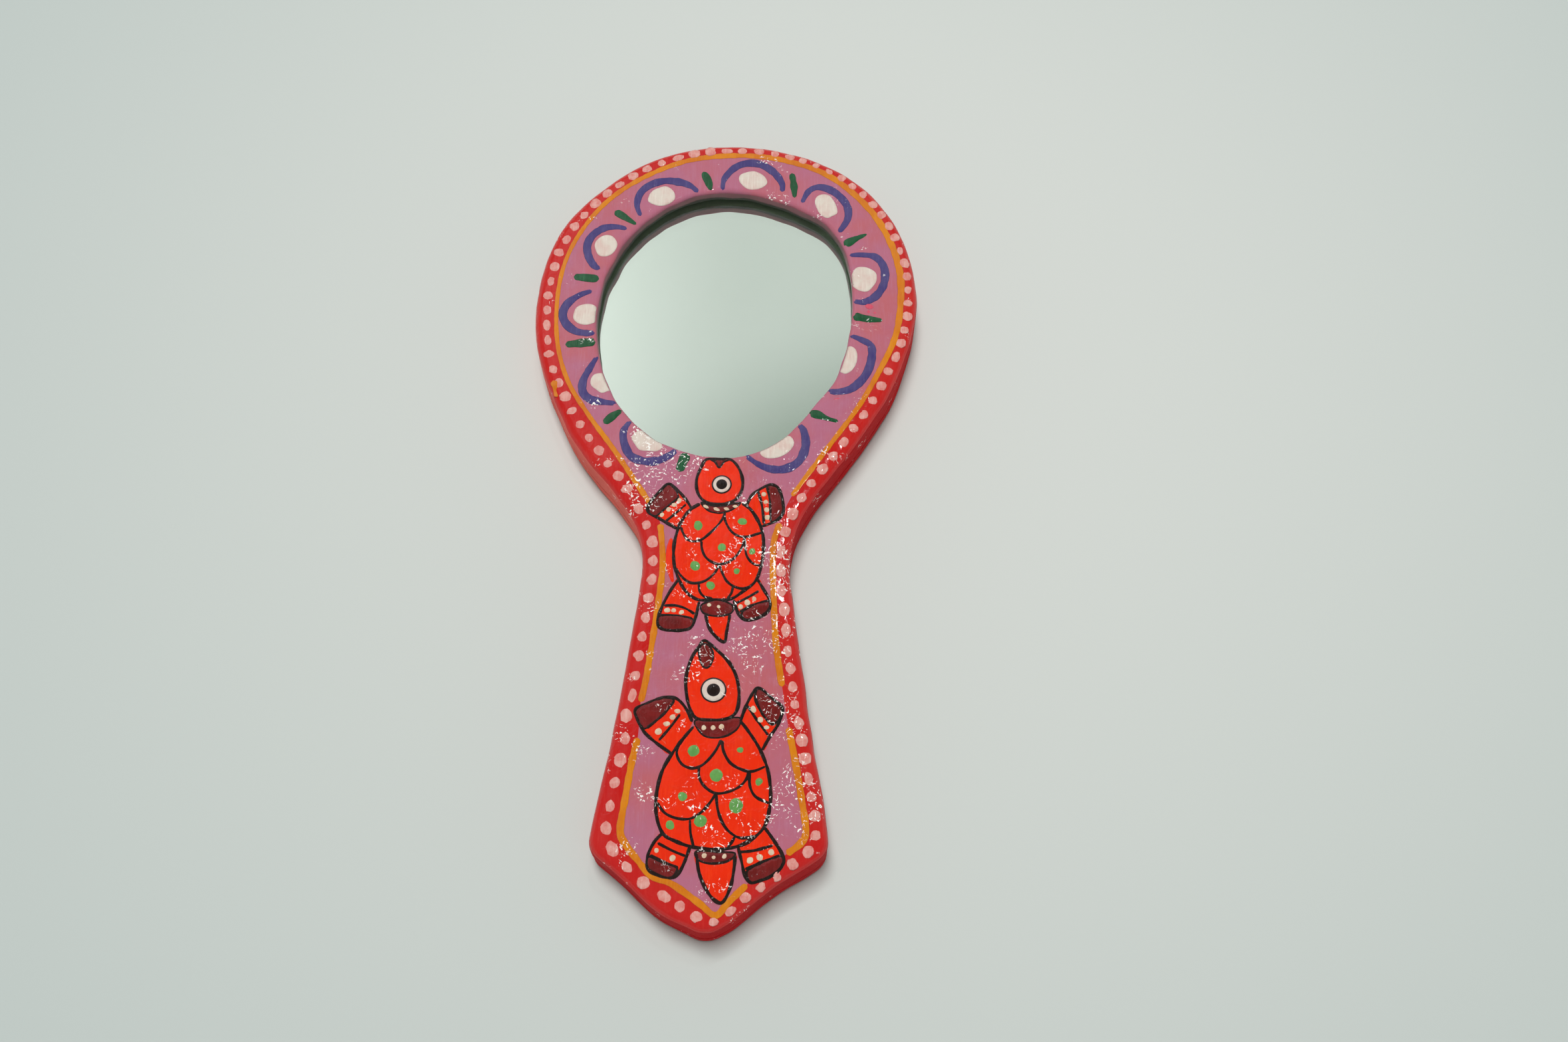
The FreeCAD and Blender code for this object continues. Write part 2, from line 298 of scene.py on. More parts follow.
glint_creases = add_node(tree, NOISE, {"Vector": place, "Scale": every(GLINT_APART), "Detail": 1.0, "Distortion": 1.2})
glints = add_node(tree, MATH, {0: glint_creases, 1: 0.5, 2: GLINT_LINE}, operation="COMPARE")
dashes = add_node(tree, NOISE, {"Vector": place, "Scale": every(DASH), "Detail": 1.0})
dashed = add_node(tree, RANGE, {"Value": dashes, "From Min": 0.50, "From Max": 0.55})
glinting = 0.0
for x, y, reach, amount in GLINT_PLACES:
    middle = Vector((x, y, GLINT_HEIGHT)) * MM
    near = nearness(tree, place, middle, GLINT_FULL * reach * MM, reach * MM, amount, "LINEAR")
    glinting = add_node(tree, MATH, {0: glinting, 1: near}, operation="MAXIMUM")
patches = add_node(tree, NOISE, {"Vector": place, "Scale": every(PATCH), "Detail": 2.0})
painted_shine = add_node(tree, MATH, {0: glinting, 1: patches}, operation="ADD")
with_glints = add_node(tree, RANGE, {"Value": painted_shine, "From Min": 0.63, "From Max": 0.71})
for part in (dashed, with_glints):
    glints = add_node(tree, MATH, {0: glints, 1: part}, operation="MULTIPLY")
add_node(tree, "NodeGroupOutput", {"Height": height, "Glints": glints})
print(len(GLINT_PLACES), "worn places")

# %% Gloss paint
RIDGE, RIDGE_RISE = 0.55, 0.03      # brush ridges, mm; real ones are finer and wouldn't show
RIDGE_LENGTH = 10                   # how many times as long as wide a ridge is
# The edge is painted paler on the lower left of the head, a painted sheen of the room's light on the side.
PAINTED_SHEEN_PLACE = Vector((-45, 22, 6)) * MM
PAINTED_SHEEN_FULL, PAINTED_SHEEN_END = 32 * MM, 62 * MM


def gloss_paint(name, main, thin, light, blotch, streak, comb=0.0, gloss=1.0, painted_shine=None):
    """Brushed paint under varnish, with painted glints. blotch is the width of a thin place in mm, streak how
    light the brush's ridges are, comb the brush's turn, and painted_shine the two colours of a painted sheen
    on the edge."""
    finish, tree, shader, place = new_finish(name)
    blotches = add_node(tree, NOISE, {"Vector": place, "Scale": every(blotch), "Detail": 3.0,
                                      "Roughness": 0.6})
    soft = add_node(tree, RANGE, {"Value": blotches, "From Min": 0.38, "From Max": 0.66})
    ground = add_node(tree, MIX, {"Factor": soft, "A": main, "B": thin}, data_type="RGBA")
    # A painted sheen: near its place the colour turns to two paler reds.
    if painted_shine:
        pale = add_node(tree, MIX, {"Factor": soft, "A": painted_shine[0], "B": painted_shine[1]}, data_type="RGBA")
        near = nearness(tree, place, PAINTED_SHEEN_PLACE, PAINTED_SHEEN_FULL, PAINTED_SHEEN_END)
        ground = add_node(tree, MIX, {"Factor": near, "A": ground, "B": pale}, data_type="RGBA")
    combed = add_node(tree, "ShaderNodeMapping", {"Vector": place, "Rotation": (0, 0, comb),
                                                  "Scale": (1, 1 / RIDGE_LENGTH, 1)})
    hairs = add_node(tree, NOISE, {"Vector": combed, "Scale": every(RIDGE), "Detail": 2.0, "Roughness": 0.6})
    lit = add_node(tree, RANGE, {"Value": hairs, "From Min": 0.5, "From Max": 0.8, "To Max": streak})
    colour = add_node(tree, MIX, {"Factor": lit, "A": ground, "B": light}, data_type="RGBA")
    skin = add_node(tree, "ShaderNodeGroup", node_tree=varnish_skin).outputs
    # Painted glints: a pale colour is mixed into the paint where the varnish would glint.
    with_glints = add_node(tree, MIX, {"Factor": skin["Glints"], "A": colour, "B": "#F6F2EC"}, data_type="RGBA")
    ridges = add_node(tree, BUMP, {"Height": hairs, "Strength": 0.3, "Distance": RIDGE_RISE * MM})
    varnish = add_node(tree, BUMP, {"Height": skin["Height"], "Strength": 1.0, "Distance": MM})
    feed(tree, shader, {
        "Base Color": with_glints, "Roughness": 0.6, "Specular IOR Level": 0.0, "Normal": ridges,
        "Coat Weight": gloss, "Coat Roughness": 0.04, "Coat IOR": 1.4, "Coat Normal": varnish})
    return finish


# %% The painter's pots
# Each is its main colour, that of its thin places and that of the brush's ridges, the width of a thin
# place in mm, and how light the ridges are.
red_paint = gloss_paint("red_gloss_paint", "#BC1614", "#C02622", "#CE4038", 22, 0.25)
# The sides' red, painted paler on the lower left of the head as a painted sheen.
edge_paint = gloss_paint("red_edge_paint", "#B81218", "#AC1C20", "#C84A44", 20, 0.35, gloss=0.1,
                         painted_shine=("#E27064", "#D65E54"))
mauve_paint = gloss_paint("mauve_gloss_paint", "#AF677E", "#B66068", "#B886A0", 20, 0.25)
orange_paint = gloss_paint("orange_gloss_paint", "#D27E10", "#C66C14", "#DE9630", 9, 0.35)
purple_paint = gloss_paint("purple_gloss_paint", "#40376E", "#4C4474", "#625A8C", 7, 0.5)
white_paint = gloss_paint("white_gloss_paint", "#D6CBBE", "#D2B9AE", "#E4DCD0", 4, 0.7, comb=0.6)
leaf_paint = gloss_paint("green_leaf_paint", "#1E5232", "#18482A", "#3C7850", 5, 0.4)
pink_paint = gloss_paint("pink_dot_paint", "#D99C92", "#D07A72", "#E6BCB2", 1.8, 0.6)
smear_paint = gloss_paint("thin_red_smear_paint", "#CC4A60", "#C45C70", "#D87082", 3, 0.4)
flame_paint = gloss_paint("flame_red_paint", "#E62A04", "#DE2604", "#F04A18", 12, 0.35)
black_paint = gloss_paint("black_line_paint", "#1A1210", "#281614", "#342422", 6, 0.4)
maroon_paint = gloss_paint("maroon_paint", "#761A1A", "#601414", "#843030", 5, 0.45)
cream_paint = gloss_paint("cream_dot_paint", "#D6C3A8", "#CAA88C", "#E2D4BE", 2, 0.5)
spot_paint = gloss_paint("green_spot_paint", "#649C50", "#5A904A", "#84B472", 2, 0.4)
print(len([m for m in bpy.data.materials if m.name.endswith("paint")]), "paints")

# %% [markdown]
# ## The hand-cut outline
# The CAD outline is symmetric, but the real paddle was sawed by eye and rasped, so it swells here and
# falls short there by up to a few millimetres. The drawn line is read from the CAD back board, spaced
# evenly, and then pushed out or in along its normals. Each swell is a place, how far the edge moves,
# and how far along it that is felt. This keeps the CAD shape as the rule and the saw as the exception.


# %% Read a loop from CAD and push it
def level_loop(node, height, middle):
    """The corners that a CAD node has at one height, in mm, sorted round a middle."""
    spots = {(round(v.co.x / MM, 3), round(v.co.y / MM, 3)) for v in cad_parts[node].data.vertices
             if abs(v.co.z - height) < 1e-6}
    return np.array(sorted(spots, key=lambda s: math.atan2(s[1] - middle[1], s[0] - middle[0])))


def evenly(loop, count):
    """A closed loop of points, spaced evenly along its length."""
    closed = np.vstack([loop, loop[:1]])
    run = np.r_[0, np.cumsum(np.linalg.norm(np.diff(closed, axis=0), axis=1))]
    at = np.linspace(0, run[-1], count, endpoint=False)
    return np.stack([np.interp(at, run, closed[:, k]) for k in (0, 1)], 1)


def outward(loop):
    """Unit normals of a closed loop that runs anticlockwise."""
    ahead = np.roll(loop, -1, 0) - np.roll(loop, 1, 0)
    ahead = ahead / np.linalg.norm(ahead, axis=1)[:, None]
    return np.stack([ahead[:, 1], -ahead[:, 0]], 1)


def swollen(loop, swells):
    """The loop pushed along its normals by each swell."""
    push = np.zeros(len(loop))
    for x, y, amount, reach in swells:
        push += amount * np.exp(-(np.hypot(loop[:, 0] - x, loop[:, 1] - y) / reach) ** 2)
    return loop + outward(loop) * push[:, None]


# %% The outline and the opening
OUTLINE_SWELLS = ((40, 105, 2.3, 28), (-40, 20, 2.8, 18), (-57, 72, -1.0, 18), (-40, 107, -0.8, 14),
                  (55, 48, -1.2, 15), (29, 2, -1.1, 14), (-21, -16, 0.3, 8), (-27, -65, -0.8, 22),
                  (-14, -114, 1.0, 8), (0, -123, -1.6, 7), (17, -111, -1.1, 10), (30, -88, 0.8, 12))
OPENING_SWELLS = ((34, 90, 4.2, 16), (26, 31, -2.8, 16), (38, 53, -0.9, 9), (-4, 13, -0.8, 15))
WAIST = (0, -20)    # the whole outline can be seen from here, so it can be sorted by angle
OUTLINE_POINTS, OPENING_POINTS = 720, 480

front_low, front_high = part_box("front_board")
glass_low, glass_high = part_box("mirror_glass")
back_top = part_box("back_board")[1].z
FACE, LEDGE, SEAM, BACK_TOP = front_high.z / MM, glass_high.z / MM, front_low.z / MM, back_top / MM
cut_outline = swollen(evenly(level_loop("back_board", back_top, WAIST), OUTLINE_POINTS), OUTLINE_SWELLS)

# The ledge has two loops: the opening, which is smaller than the glass, and the recess, which is larger.
glass_middle = np.array([(glass_low.x + glass_high.x) / 2, (glass_low.y + glass_high.y) / 2]) / MM
glass_half = np.array([(glass_high.x - glass_low.x) / 2, (glass_high.y - glass_low.y) / 2]) / MM
ledge = level_loop("front_board", glass_high.z, glass_middle)
share = np.linalg.norm((ledge - glass_middle) / glass_half, axis=1)
cut_opening = swollen(evenly(ledge[share < 1], OPENING_POINTS), OPENING_SWELLS)
recess = evenly(ledge[share > 1], OPENING_POINTS)
print("cut outline", np.ptp(cut_outline, 0).round(1), "opening", np.ptp(cut_opening, 0).round(1), "mm")

# %% [markdown]
# ## The front board
# This is the thick board with the oval hole. Its edge is rasped round in front, and the lip of the
# hole is softened. It could be a Boolean with bevels, but rings of points are steadier: each ring is
# the cut loop, moved in and up along a profile, and quads join one ring to the next. The flat face
# between the last two rings is filled by a constrained Delaunay triangulation, which takes the line
# between the red border and the mauve ground as an edge, so each colour gets its own faces.

# %% The line where the red border meets the ground
# The painter's orange line, in five runs, because the animals' feet and arms cover it in between.
LINE_RUNS = (
    ((-19.6, -0.8), (-30.5, 15.5), (-39, 27.3), (-45.7, 38.3), (-49.6, 51), (-50.7, 65.5), (-49.2, 79),
     (-44.5, 91), (-36.8, 102), (-25.7, 110.8), (-12, 117), (3.8, 118.8), (18.2, 116.9), (31.6, 111.3),
     (43.2, 100.2), (49.5, 89), (52.7, 78), (53, 66.9), (51.2, 54.5), (46, 42.2), (39.9, 30.6),
     (30, 15.7), (21, 2)),
    ((17.8, -6.5), (16.2, -11.5), (15.9, -18), (16.3, -28), (17.2, -42.5), (19.1, -55)),
    ((21, -66.5), (22.9, -75.7), (24.7, -85.7), (26, -94.5), (24.7, -97.9), (21, -100.8)),
    ((10.8, -108.9), (6.1, -113.6), (2.9, -117), (-1, -114.3), (-5, -111.5), (-9, -109), (-14.4, -106.8),
     (-18.1, -102.9), (-21.6, -98.6), (-23, -95), (-22.1, -86.4), (-20.9, -77), (-19.6, -70)),
    ((-19.3, -60), (-18.1, -52.9), (-17, -43), (-15.7, -30), (-15.1, -19), (-16.3, -7.2)),
)


def through(points, step):
    """A smooth loop through a few points, as a Catmull-Rom spline, with a point about every step."""
    points = np.array(points, float)
    line = []
    for a, b, c, d in zip(*(np.roll(points, shift, 0) for shift in (1, 0, -1, -2))):
        for t in np.linspace(0, 1, max(2, int(np.linalg.norm(c - b) / step)), endpoint=False):
            line.append(b + 0.5 * t * (c - a + t * (2 * a - 5 * b + 4 * c - d + t * (3 * (b - c) + d - a))))
    return np.array(line)


ground_loop = through([p for run in LINE_RUNS for p in run], 1.0)[::-1]
print("ground runs", len(ground_loop), "points")

# %% Fill a flat region
ROW_SHARE = 0.87    # how far apart the rows of a grid are, as a share of its spacing: equal triangles
CLEAR_SHARE = 0.6   # how near a grid point may come to a loop, as a share of its spacing


def inside(points, loop):
    """Which points lie inside a closed loop, by counting the edges that a line outwards crosses."""
    start, end = loop, np.roll(loop, -1, 0)
    x, y = points[:, 0:1], points[:, 1:2]
    spans = (start[:, 1] > y) != (end[:, 1] > y)
    climb = np.where(end[:, 1] == start[:, 1], 1, end[:, 1] - start[:, 1])
    crossing = start[:, 0] + (y - start[:, 1]) * (end[:, 0] - start[:, 0]) / climb
    return (spans & (x < crossing)).sum(1) % 2 == 1


def gap_to(points, loop):
    """Each point's distance to the nearest corner of a loop."""
    return np.min(np.linalg.norm(points[:, None] - loop[None], axis=2), axis=1)


def flat_fill(outer, hole=None, line=None, spacing=0.0):
    """Triangles that fill an outer loop, less a hole, with a line as edges and a grid of points inside."""
    loops = [loop[:, :2] for loop in (outer, hole, line) if loop is not None]
    corners = np.vstack(loops)
    edges = []
    first = 0
    for loop in loops:
        edges += [(first + i, first + (i + 1) % len(loop)) for i in range(len(loop))]
        first += len(loop)

    def wanted(points):
        """Which points lie in the region."""
        return inside(points, outer) if hole is None else inside(points, outer) & ~inside(points, hole)

    if spacing:
        low, high = outer.min(0), outer.max(0)
        rows = enumerate(np.arange(low[1], high[1], spacing * ROW_SHARE))
        grid = np.array([(x + (row % 2) * spacing / 2, y) for row, y in rows
                         for x in np.arange(low[0], high[0], spacing)])
        grid = grid[wanted(grid)]
        corners = np.vstack([corners, grid[gap_to(grid, corners) > CLEAR_SHARE * spacing]])
    spots, _, faces, *_ = geometry.delaunay_2d_cdt([Vector(c) for c in corners], edges, [], 0, 1e-7, False)
    spots = np.array([tuple(s) for s in spots])
    faces = np.array(faces)
    return spots, faces[wanted(spots[faces].mean(1))]


# %% Rings of points
RASP_DEPTH = 0.22   # how deep the rasp's dents are, mm
RASP_PITCH = 7.0    # how far apart they are, mm
RASP_SLANT = 1.5    # how much faster they change up the edge than along it


def at_height(loop, height):
    """A flat loop as points at a height."""
    return np.column_stack([loop, np.full(len(loop), height)])


def ring(loop, inset, height, depth=RASP_DEPTH):
    """The loop moved in by inset, with rasp dents of a depth, as points at a height."""
    dents = np.array([noise.noise(Vector((x, y, RASP_SLANT * height)) / RASP_PITCH) for x, y in loop])
    return at_height(loop - outward(loop) * (inset - depth * dents)[:, None], height)


def quarter(radius, steps):
    """The inset and drop of points on a quarter round, from the side to the top."""
    turns = np.linspace(0, math.pi / 2, steps)
    return [(radius * (1 - math.cos(t)), radius * (1 - math.sin(t))) for t in turns]


def join_rings(mesh, rings, finish):
    """Quads from each ring of points to the next."""
    rows = [[mesh.verts.new(point * MM) for point in points] for points in rings]
    for low, high in zip(rows, rows[1:]):
        for i in range(len(low)):
            k = (i + 1) % len(low)
            mesh.faces.new((low[i], low[k], high[k], high[i])).material_index = finish


def join_fill(mesh, height, finish, outer, **region):
    """A flat fill at a height. The finish is a number, or a function that picks it by a triangle's middle."""
    spots, faces = flat_fill(outer, **region)
    finishes = finish(spots[faces].mean(1)) if callable(finish) else [finish] * len(faces)
    made = [mesh.verts.new((x * MM, y * MM, height * MM)) for x, y in spots]
    for corners, number in zip(faces, finishes):
        mesh.faces.new([made[c] for c in corners]).material_index = number


# %% Pieces
SHARP = 0.75    # the angle, in radians, from which a corner stays sharp


def to_piece(mesh, name, *finishes):
    """Turns what was built into an object with its finishes."""
    data = bpy.data.meshes.new(name)
    mesh.to_mesh(data)
    mesh.free()
    for finish in finishes:
        data.materials.append(finish)
    return add_object(name, data)


def close_mesh(mesh, name, *finishes):
    """Merges the doubles, turns the faces outwards, keeps sharp corners sharp, and makes the object."""
    bmesh.ops.remove_doubles(mesh, verts=mesh.verts, dist=2e-6)
    bmesh.ops.recalc_face_normals(mesh, faces=mesh.faces)
    for face in mesh.faces:
        face.smooth = True
    for edge in mesh.edges:
        edge.smooth = len(edge.link_faces) == 2 and edge.calc_face_angle() < SHARP
    return to_piece(mesh, name, *finishes)


def mount(piece, slot, *nodes):
    """Parents the piece to the mirror's body, and hides the CAD nodes that it stands for. The slot is not
    used.
    """
    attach(piece, "root")
    if nodes:
        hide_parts(*nodes)
    print(piece.name, len(piece.data.polygons), "faces")


# %% [markdown]
# The wood itself shows only where paint can't reach, between the boards. It is a pale softwood, sawn, so
# its grain is long streaks about two millimetres apart. The recess behind the lip has a primer. The wall of
# the opening is mauve that turns raggedly downwards to dark olive, a painted shade deep in the opening.


# %% Bare wood and primer
def dull_finish(name, main, thin, grain, roughness, detail=4.0, bump=0.4, rise=0.05, stretch=1.0, twist=0.0):
    """An unvarnished stuff, speckled, or grained where stretch draws the speckle out along the board.
    grain and rise are in mm."""
    finish, tree, shader, place = new_finish(name)
    drawn_out = add_node(tree, "ShaderNodeMapping", {"Vector": place, "Scale": (1, 1 / stretch, 1)})
    speckle = add_node(tree, NOISE, {"Vector": drawn_out, "Scale": every(grain), "Detail": detail,
                                     "Distortion": twist})
    tint = add_node(tree, MIX, {"Factor": speckle, "A": main, "B": thin}, data_type="RGBA")
    relief = add_node(tree, BUMP, {"Height": speckle, "Strength": bump, "Distance": rise * MM})
    feed(tree, shader, {"Base Color": tint, "Roughness": roughness, "Normal": relief})
    return finish


bare_wood = dull_finish("sawn_softwood", "#C9A778", "#A87F52", 2, 0.75, detail=5.0, bump=0.5, rise=0.1,
                        stretch=25, twist=0.4)
# Behind the glass the recess has a pale green primer, which shows as the dark green line under the lip.
primer = dull_finish("pale_green_primer", "#D4DECA", "#C0CCB2", 1.5, 0.7)
print("finishes", bare_wood.name, "and", primer.name)

# %% The wall of the opening
DRIP, DRIP_LENGTH = 3.5, 1.2            # how wide and how long the mauve's drips are, mm
PAINTED_SHADE_LOW, PAINTED_SHADE_HIGH = 12.2, 12.8        # the heights between which the mauve gives way to the painted shade, mm
lip_wall, tree, shader, place = new_finish("thin_mauve_over_wood")
height = add_node(tree, SEPARATE, {0: place}).outputs["Z"]
drips = add_node(tree, NOISE, {"Vector": place, "Scale": every(DRIP), "Detail": 3.0})
uneven = add_node(tree, MATH, {0: drips, 1: DRIP_LENGTH * MM, 2: height}, operation="MULTIPLY_ADD")
unshaded = add_node(tree, RANGE, {"Value": uneven, "From Min": PAINTED_SHADE_LOW * MM, "From Max": PAINTED_SHADE_HIGH * MM})
# Dark olive below and mauve above: the dark olive is a painted shade deep in the opening.
tint = add_node(tree, MIX, {"Factor": unshaded, "A": "#44463C", "B": "#9C6A70"}, data_type="RGBA")
feed(tree, shader, {"Base Color": tint, "Roughness": 0.45})
print("finish", lip_wall.name)

# %% Front board
EDGE_ROUND, EDGE_STEPS = 2.6, 10    # how far the front edge is rasped round, mm, and in how many rings
LIP_ROUND, LIP_STEPS = 1.2, 7       # how far the lip of the opening is softened
LIP_DENTS = 0.45                    # how deep the lip was dented by the saw, mm
ARRIS = 0.35                        # the small chamfer that makes the seam between the boards show, mm
SIDE_STEP = 2.2                     # how far apart the rings on the straight side are, mm
WALL_DEPTHS = (2.2, 3.2)            # how far below the face the rings on the opening's wall are, mm
EDGE_RINGS = 7                      # the edge's paint ends at this ring, on the round
FACE_GRID = 2.5                     # how far apart the points on the face are, mm
PLANE_WAVE, PLANE_PITCH, PLANE_DEPTH = 0.10, 24, 4  # the planed face's waves, mm, felt down to a depth
RED, MAUVE, WOOD, WALL, EDGE, GAP = range(6)

outer_profile = [(ARRIS, SEAM), (0, SEAM + ARRIS), (0, SEAM + SIDE_STEP), (0, SEAM + 2 * SIDE_STEP)]
outer_profile += [(inset, FACE - drop) for inset, drop in quarter(EDGE_ROUND, EDGE_STEPS)]
outer_rings = [ring(cut_outline, inset, height) for inset, height in outer_profile]
lip_profile = [(-inset, FACE - drop) for inset, drop in quarter(LIP_ROUND, LIP_STEPS)][::-1]
lip_profile += [(0, FACE - depth) for depth in WALL_DEPTHS] + [(0, LEDGE)]
lip_rings = [ring(cut_opening, inset, height, LIP_DENTS) for inset, height in lip_profile]

mesh = bmesh.new()
join_rings(mesh, outer_rings[:EDGE_RINGS], EDGE)
join_rings(mesh, outer_rings[EDGE_RINGS - 1:], RED)
join_rings(mesh, lip_rings[:LIP_STEPS], MAUVE)
join_rings(mesh, lip_rings[LIP_STEPS - 1:], WALL)
join_rings(mesh, [at_height(recess, LEDGE), at_height(recess, SEAM)], GAP)
join_fill(mesh, FACE, lambda middles: np.where(inside(middles, ground_loop), MAUVE, RED), outer_rings[-1],
          hole=lip_rings[0], line=ground_loop, spacing=FACE_GRID)
join_fill(mesh, LEDGE, GAP, recess, hole=lip_rings[-1])
join_fill(mesh, SEAM, WOOD, outer_rings[0], hole=recess)
for corner in mesh.verts:
    near_face = max(0, (corner.co.z / MM - FACE + PLANE_DEPTH) / PLANE_DEPTH)
    wave = noise.noise(Vector((corner.co.x, corner.co.y, 0)) / (PLANE_PITCH * MM))
    corner.co.z += PLANE_WAVE * MM * near_face * wave
front_board = close_mesh(mesh, "front_board_cut", red_paint, mauve_paint, bare_wood, lip_wall, edge_paint,
                         primer)
mount(front_board, "painted_wood", "front_board")
board_tree = BVHTree.FromPolygons([v.co.copy() for v in front_board.data.vertices],
                                  [tuple(p.vertices) for p in front_board.data.polygons])

# %% [markdown]
# ## The back board and the glue line
# A thinner board closes the back. The photograph shows only its edge, below a fine line where the two
# boards meet, so its back is painted plain red, which is a guess. It is cut with the front board, so it
# follows the same hand-cut loop. The dried glue between them stops just inside the edge.

# %% Back board
BACK_ROUND, BACK_STEPS = 1.5, 6     # how far the back's edge is rasped round, mm, and in how many rings
BACK_SIDE = 3.2                     # the height of the ring on its straight side, mm
BACK_GRID = 4.0                     # how far apart the points on the back are, mm
back_profile = quarter(BACK_ROUND, BACK_STEPS)[::-1]
back_profile += [(0, BACK_SIDE), (0, BACK_TOP - ARRIS), (ARRIS, BACK_TOP)]
back_rings = [ring(cut_outline, inset, height) for inset, height in back_profile]
mesh = bmesh.new()
join_rings(mesh, back_rings, 2)
join_fill(mesh, 0.0, 0, back_rings[0], spacing=BACK_GRID)
join_fill(mesh, BACK_TOP, 1, back_rings[-1])
back_board = close_mesh(mesh, "back_board_cut", red_paint, bare_wood, edge_paint)
mount(back_board, "painted_wood_back", "back_board")

# %% Dried glue
GLUE_SETBACK, GLUE_REACH = 0.6, 0.5     # how far it stops from the edge and from the recess, mm
GLUE_GAP = 0.01                         # what keeps its faces off the boards' faces, mm
# Dried wood glue gives the eye a yellowish film, lumpy and half shiny.
dried_glue = dull_finish("dried_wood_glue", "#D9CBA6", "#B89F6E", 3, 0.4, detail=3.0, bump=0.6, rise=0.1)
levels = (BACK_TOP + GLUE_GAP, SEAM - GLUE_GAP)
glue_edge = [ring(cut_outline, GLUE_SETBACK, height) for height in levels]
glue_hole = [at_height(recess + outward(recess) * GLUE_REACH, height) for height in levels]
mesh = bmesh.new()
join_rings(mesh, glue_edge, 0)
join_rings(mesh, glue_hole[::-1], 0)
for height, edge, hole in zip(levels, glue_edge, glue_hole):
    join_fill(mesh, height, 0, edge, hole=hole)
glue_line = close_mesh(mesh, "glue_line", dried_glue)
mount(glue_line, "wood_glue", "glue_film")

# %% [markdown]
# ## The glass and its silver
# The mirror is real glass with silver on its back, and that is why a dark band shows under the top of
# the opening: there the light has gone down through the glass, bounced off the silver and come up
# under the ledge. A plain metal disc would lose it. So the plate is clear glass, with its edges ground
# a little, and a hair thinner than the gap, so that no two faces lie in the same plane. The silver, its
# guard paint, the card and the glue dabs are the CAD nodes, which only need a finish.

# %% Clear glass
SMEAR, HAZE = 25, 0.03      # how wide the smears on the glass are, mm, and how rough they make it
CLEARANCE = 0.02            # what keeps the plate off its neighbours, mm
GROUND_EDGE = 0.4           # how wide the ground edge is, mm
PLATE_POINTS = 200

# Float glass gives the eye a clear, hardly green depth, and faint smears where it was wiped.
clear_glass, tree, shader, place = new_finish("clear_float_glass")
smears = add_node(tree, NOISE, {"Vector": place, "Scale": every(SMEAR), "Detail": 4.0})
haze = add_node(tree, RANGE, {"Value": smears, "From Min": 0.45, "From Max": 0.8, "To Max": HAZE})
feed(tree, shader, {"Base Color": "#F1F8F3", "Roughness": haze, "IOR": 1.5, "Transmission Weight": 1.0})

plate_loop = evenly(level_loop("mirror_glass", glass_high.z, glass_middle), PLATE_POINTS)
top, bottom = LEDGE - CLEARANCE, glass_low.z / MM + CLEARANCE
plate_profile = ((GROUND_EDGE, bottom), (0, bottom + GROUND_EDGE), (0, top - GROUND_EDGE), (GROUND_EDGE, top))
plate_rings = [at_height(plate_loop - outward(plate_loop) * inset, height) for inset, height in plate_profile]
mesh = bmesh.new()
join_rings(mesh, plate_rings, 0)
for points in (plate_rings[0], plate_rings[-1]):
    mesh.faces.new([mesh.verts.new(point * MM) for point in points])
mirror_plate = close_mesh(mesh, "mirror_plate", clear_glass)
for face in mirror_plate.data.polygons:
    face.use_smooth = len(face.vertices) == 4
mount(mirror_plate, "mirror_glass", "mirror_glass")

# %% Silver, guard paint and card
BLOOM = 30      # how wide the silver's faint cloudy places are, mm
# Silver on glass gives the eye an almost perfect reflection. The brushed guard paint is a dull grey, and
# the pressed card a duller, speckled brown.
silver, tree, shader, place = new_finish("mirror_silver")
bloom = add_node(tree, NOISE, {"Vector": place, "Scale": every(BLOOM), "Detail": 2.0})
tint = add_node(tree, MIX, {"Factor": bloom, "A": "#F4F6F2", "B": "#EEF2EC"}, data_type="RGBA")
feed(tree, shader, {"Base Color": tint, "Metallic": 1.0, "Roughness": 0.02})
kept_finishes = {"silver_film": silver, "glue_dabs": dried_glue,
                 "silver_paint": dull_finish("grey_guard_paint", "#4E5255", "#3F4346", 1.0, 0.6),
                 "packing_card": dull_finish("grey_brown_card", "#A28A66", "#85704F", 0.7, 0.9)}
for node, finish in kept_finishes.items():
    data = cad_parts[node].data
    data.materials.clear()
    data.materials.append(finish)
print("finished CAD nodes:", sorted(kept_finishes))

# %% [markdown]
# ## Brush strokes
# A stroke of paint is a bead: wide, low, rounded at its ends, a little ragged, and lying on whatever
# it was painted on. Geometry Nodes suit it, because one tree then lays every stroke on the mirror. A
# stroke is given as a few points joined by edges, each with half its width. The tree turns them into
# a smooth curve, drops it onto the board by a ray cast, and sweeps a flat oval along it.

# %% Helpers for geometry trees
RAY_RISE = 30 * MM      # how far above a point its ray to the board starts


def open_tree(name, **inputs):
    """A geometry tree with a mesh in and out, and inputs of the kinds given. Returns it and its inputs."""
    tree = bpy.data.node_groups.new(name, "GeometryNodeTree")
    tree.interface.new_socket("Geometry", in_out="OUTPUT", socket_type="NodeSocketGeometry")
    for label, kind in {"Geometry": "Geometry", **inputs}.items():
        tree.interface.new_socket(label, in_out="INPUT", socket_type="NodeSocket" + kind)
    return tree, add_node(tree, "NodeGroupInput").outputs


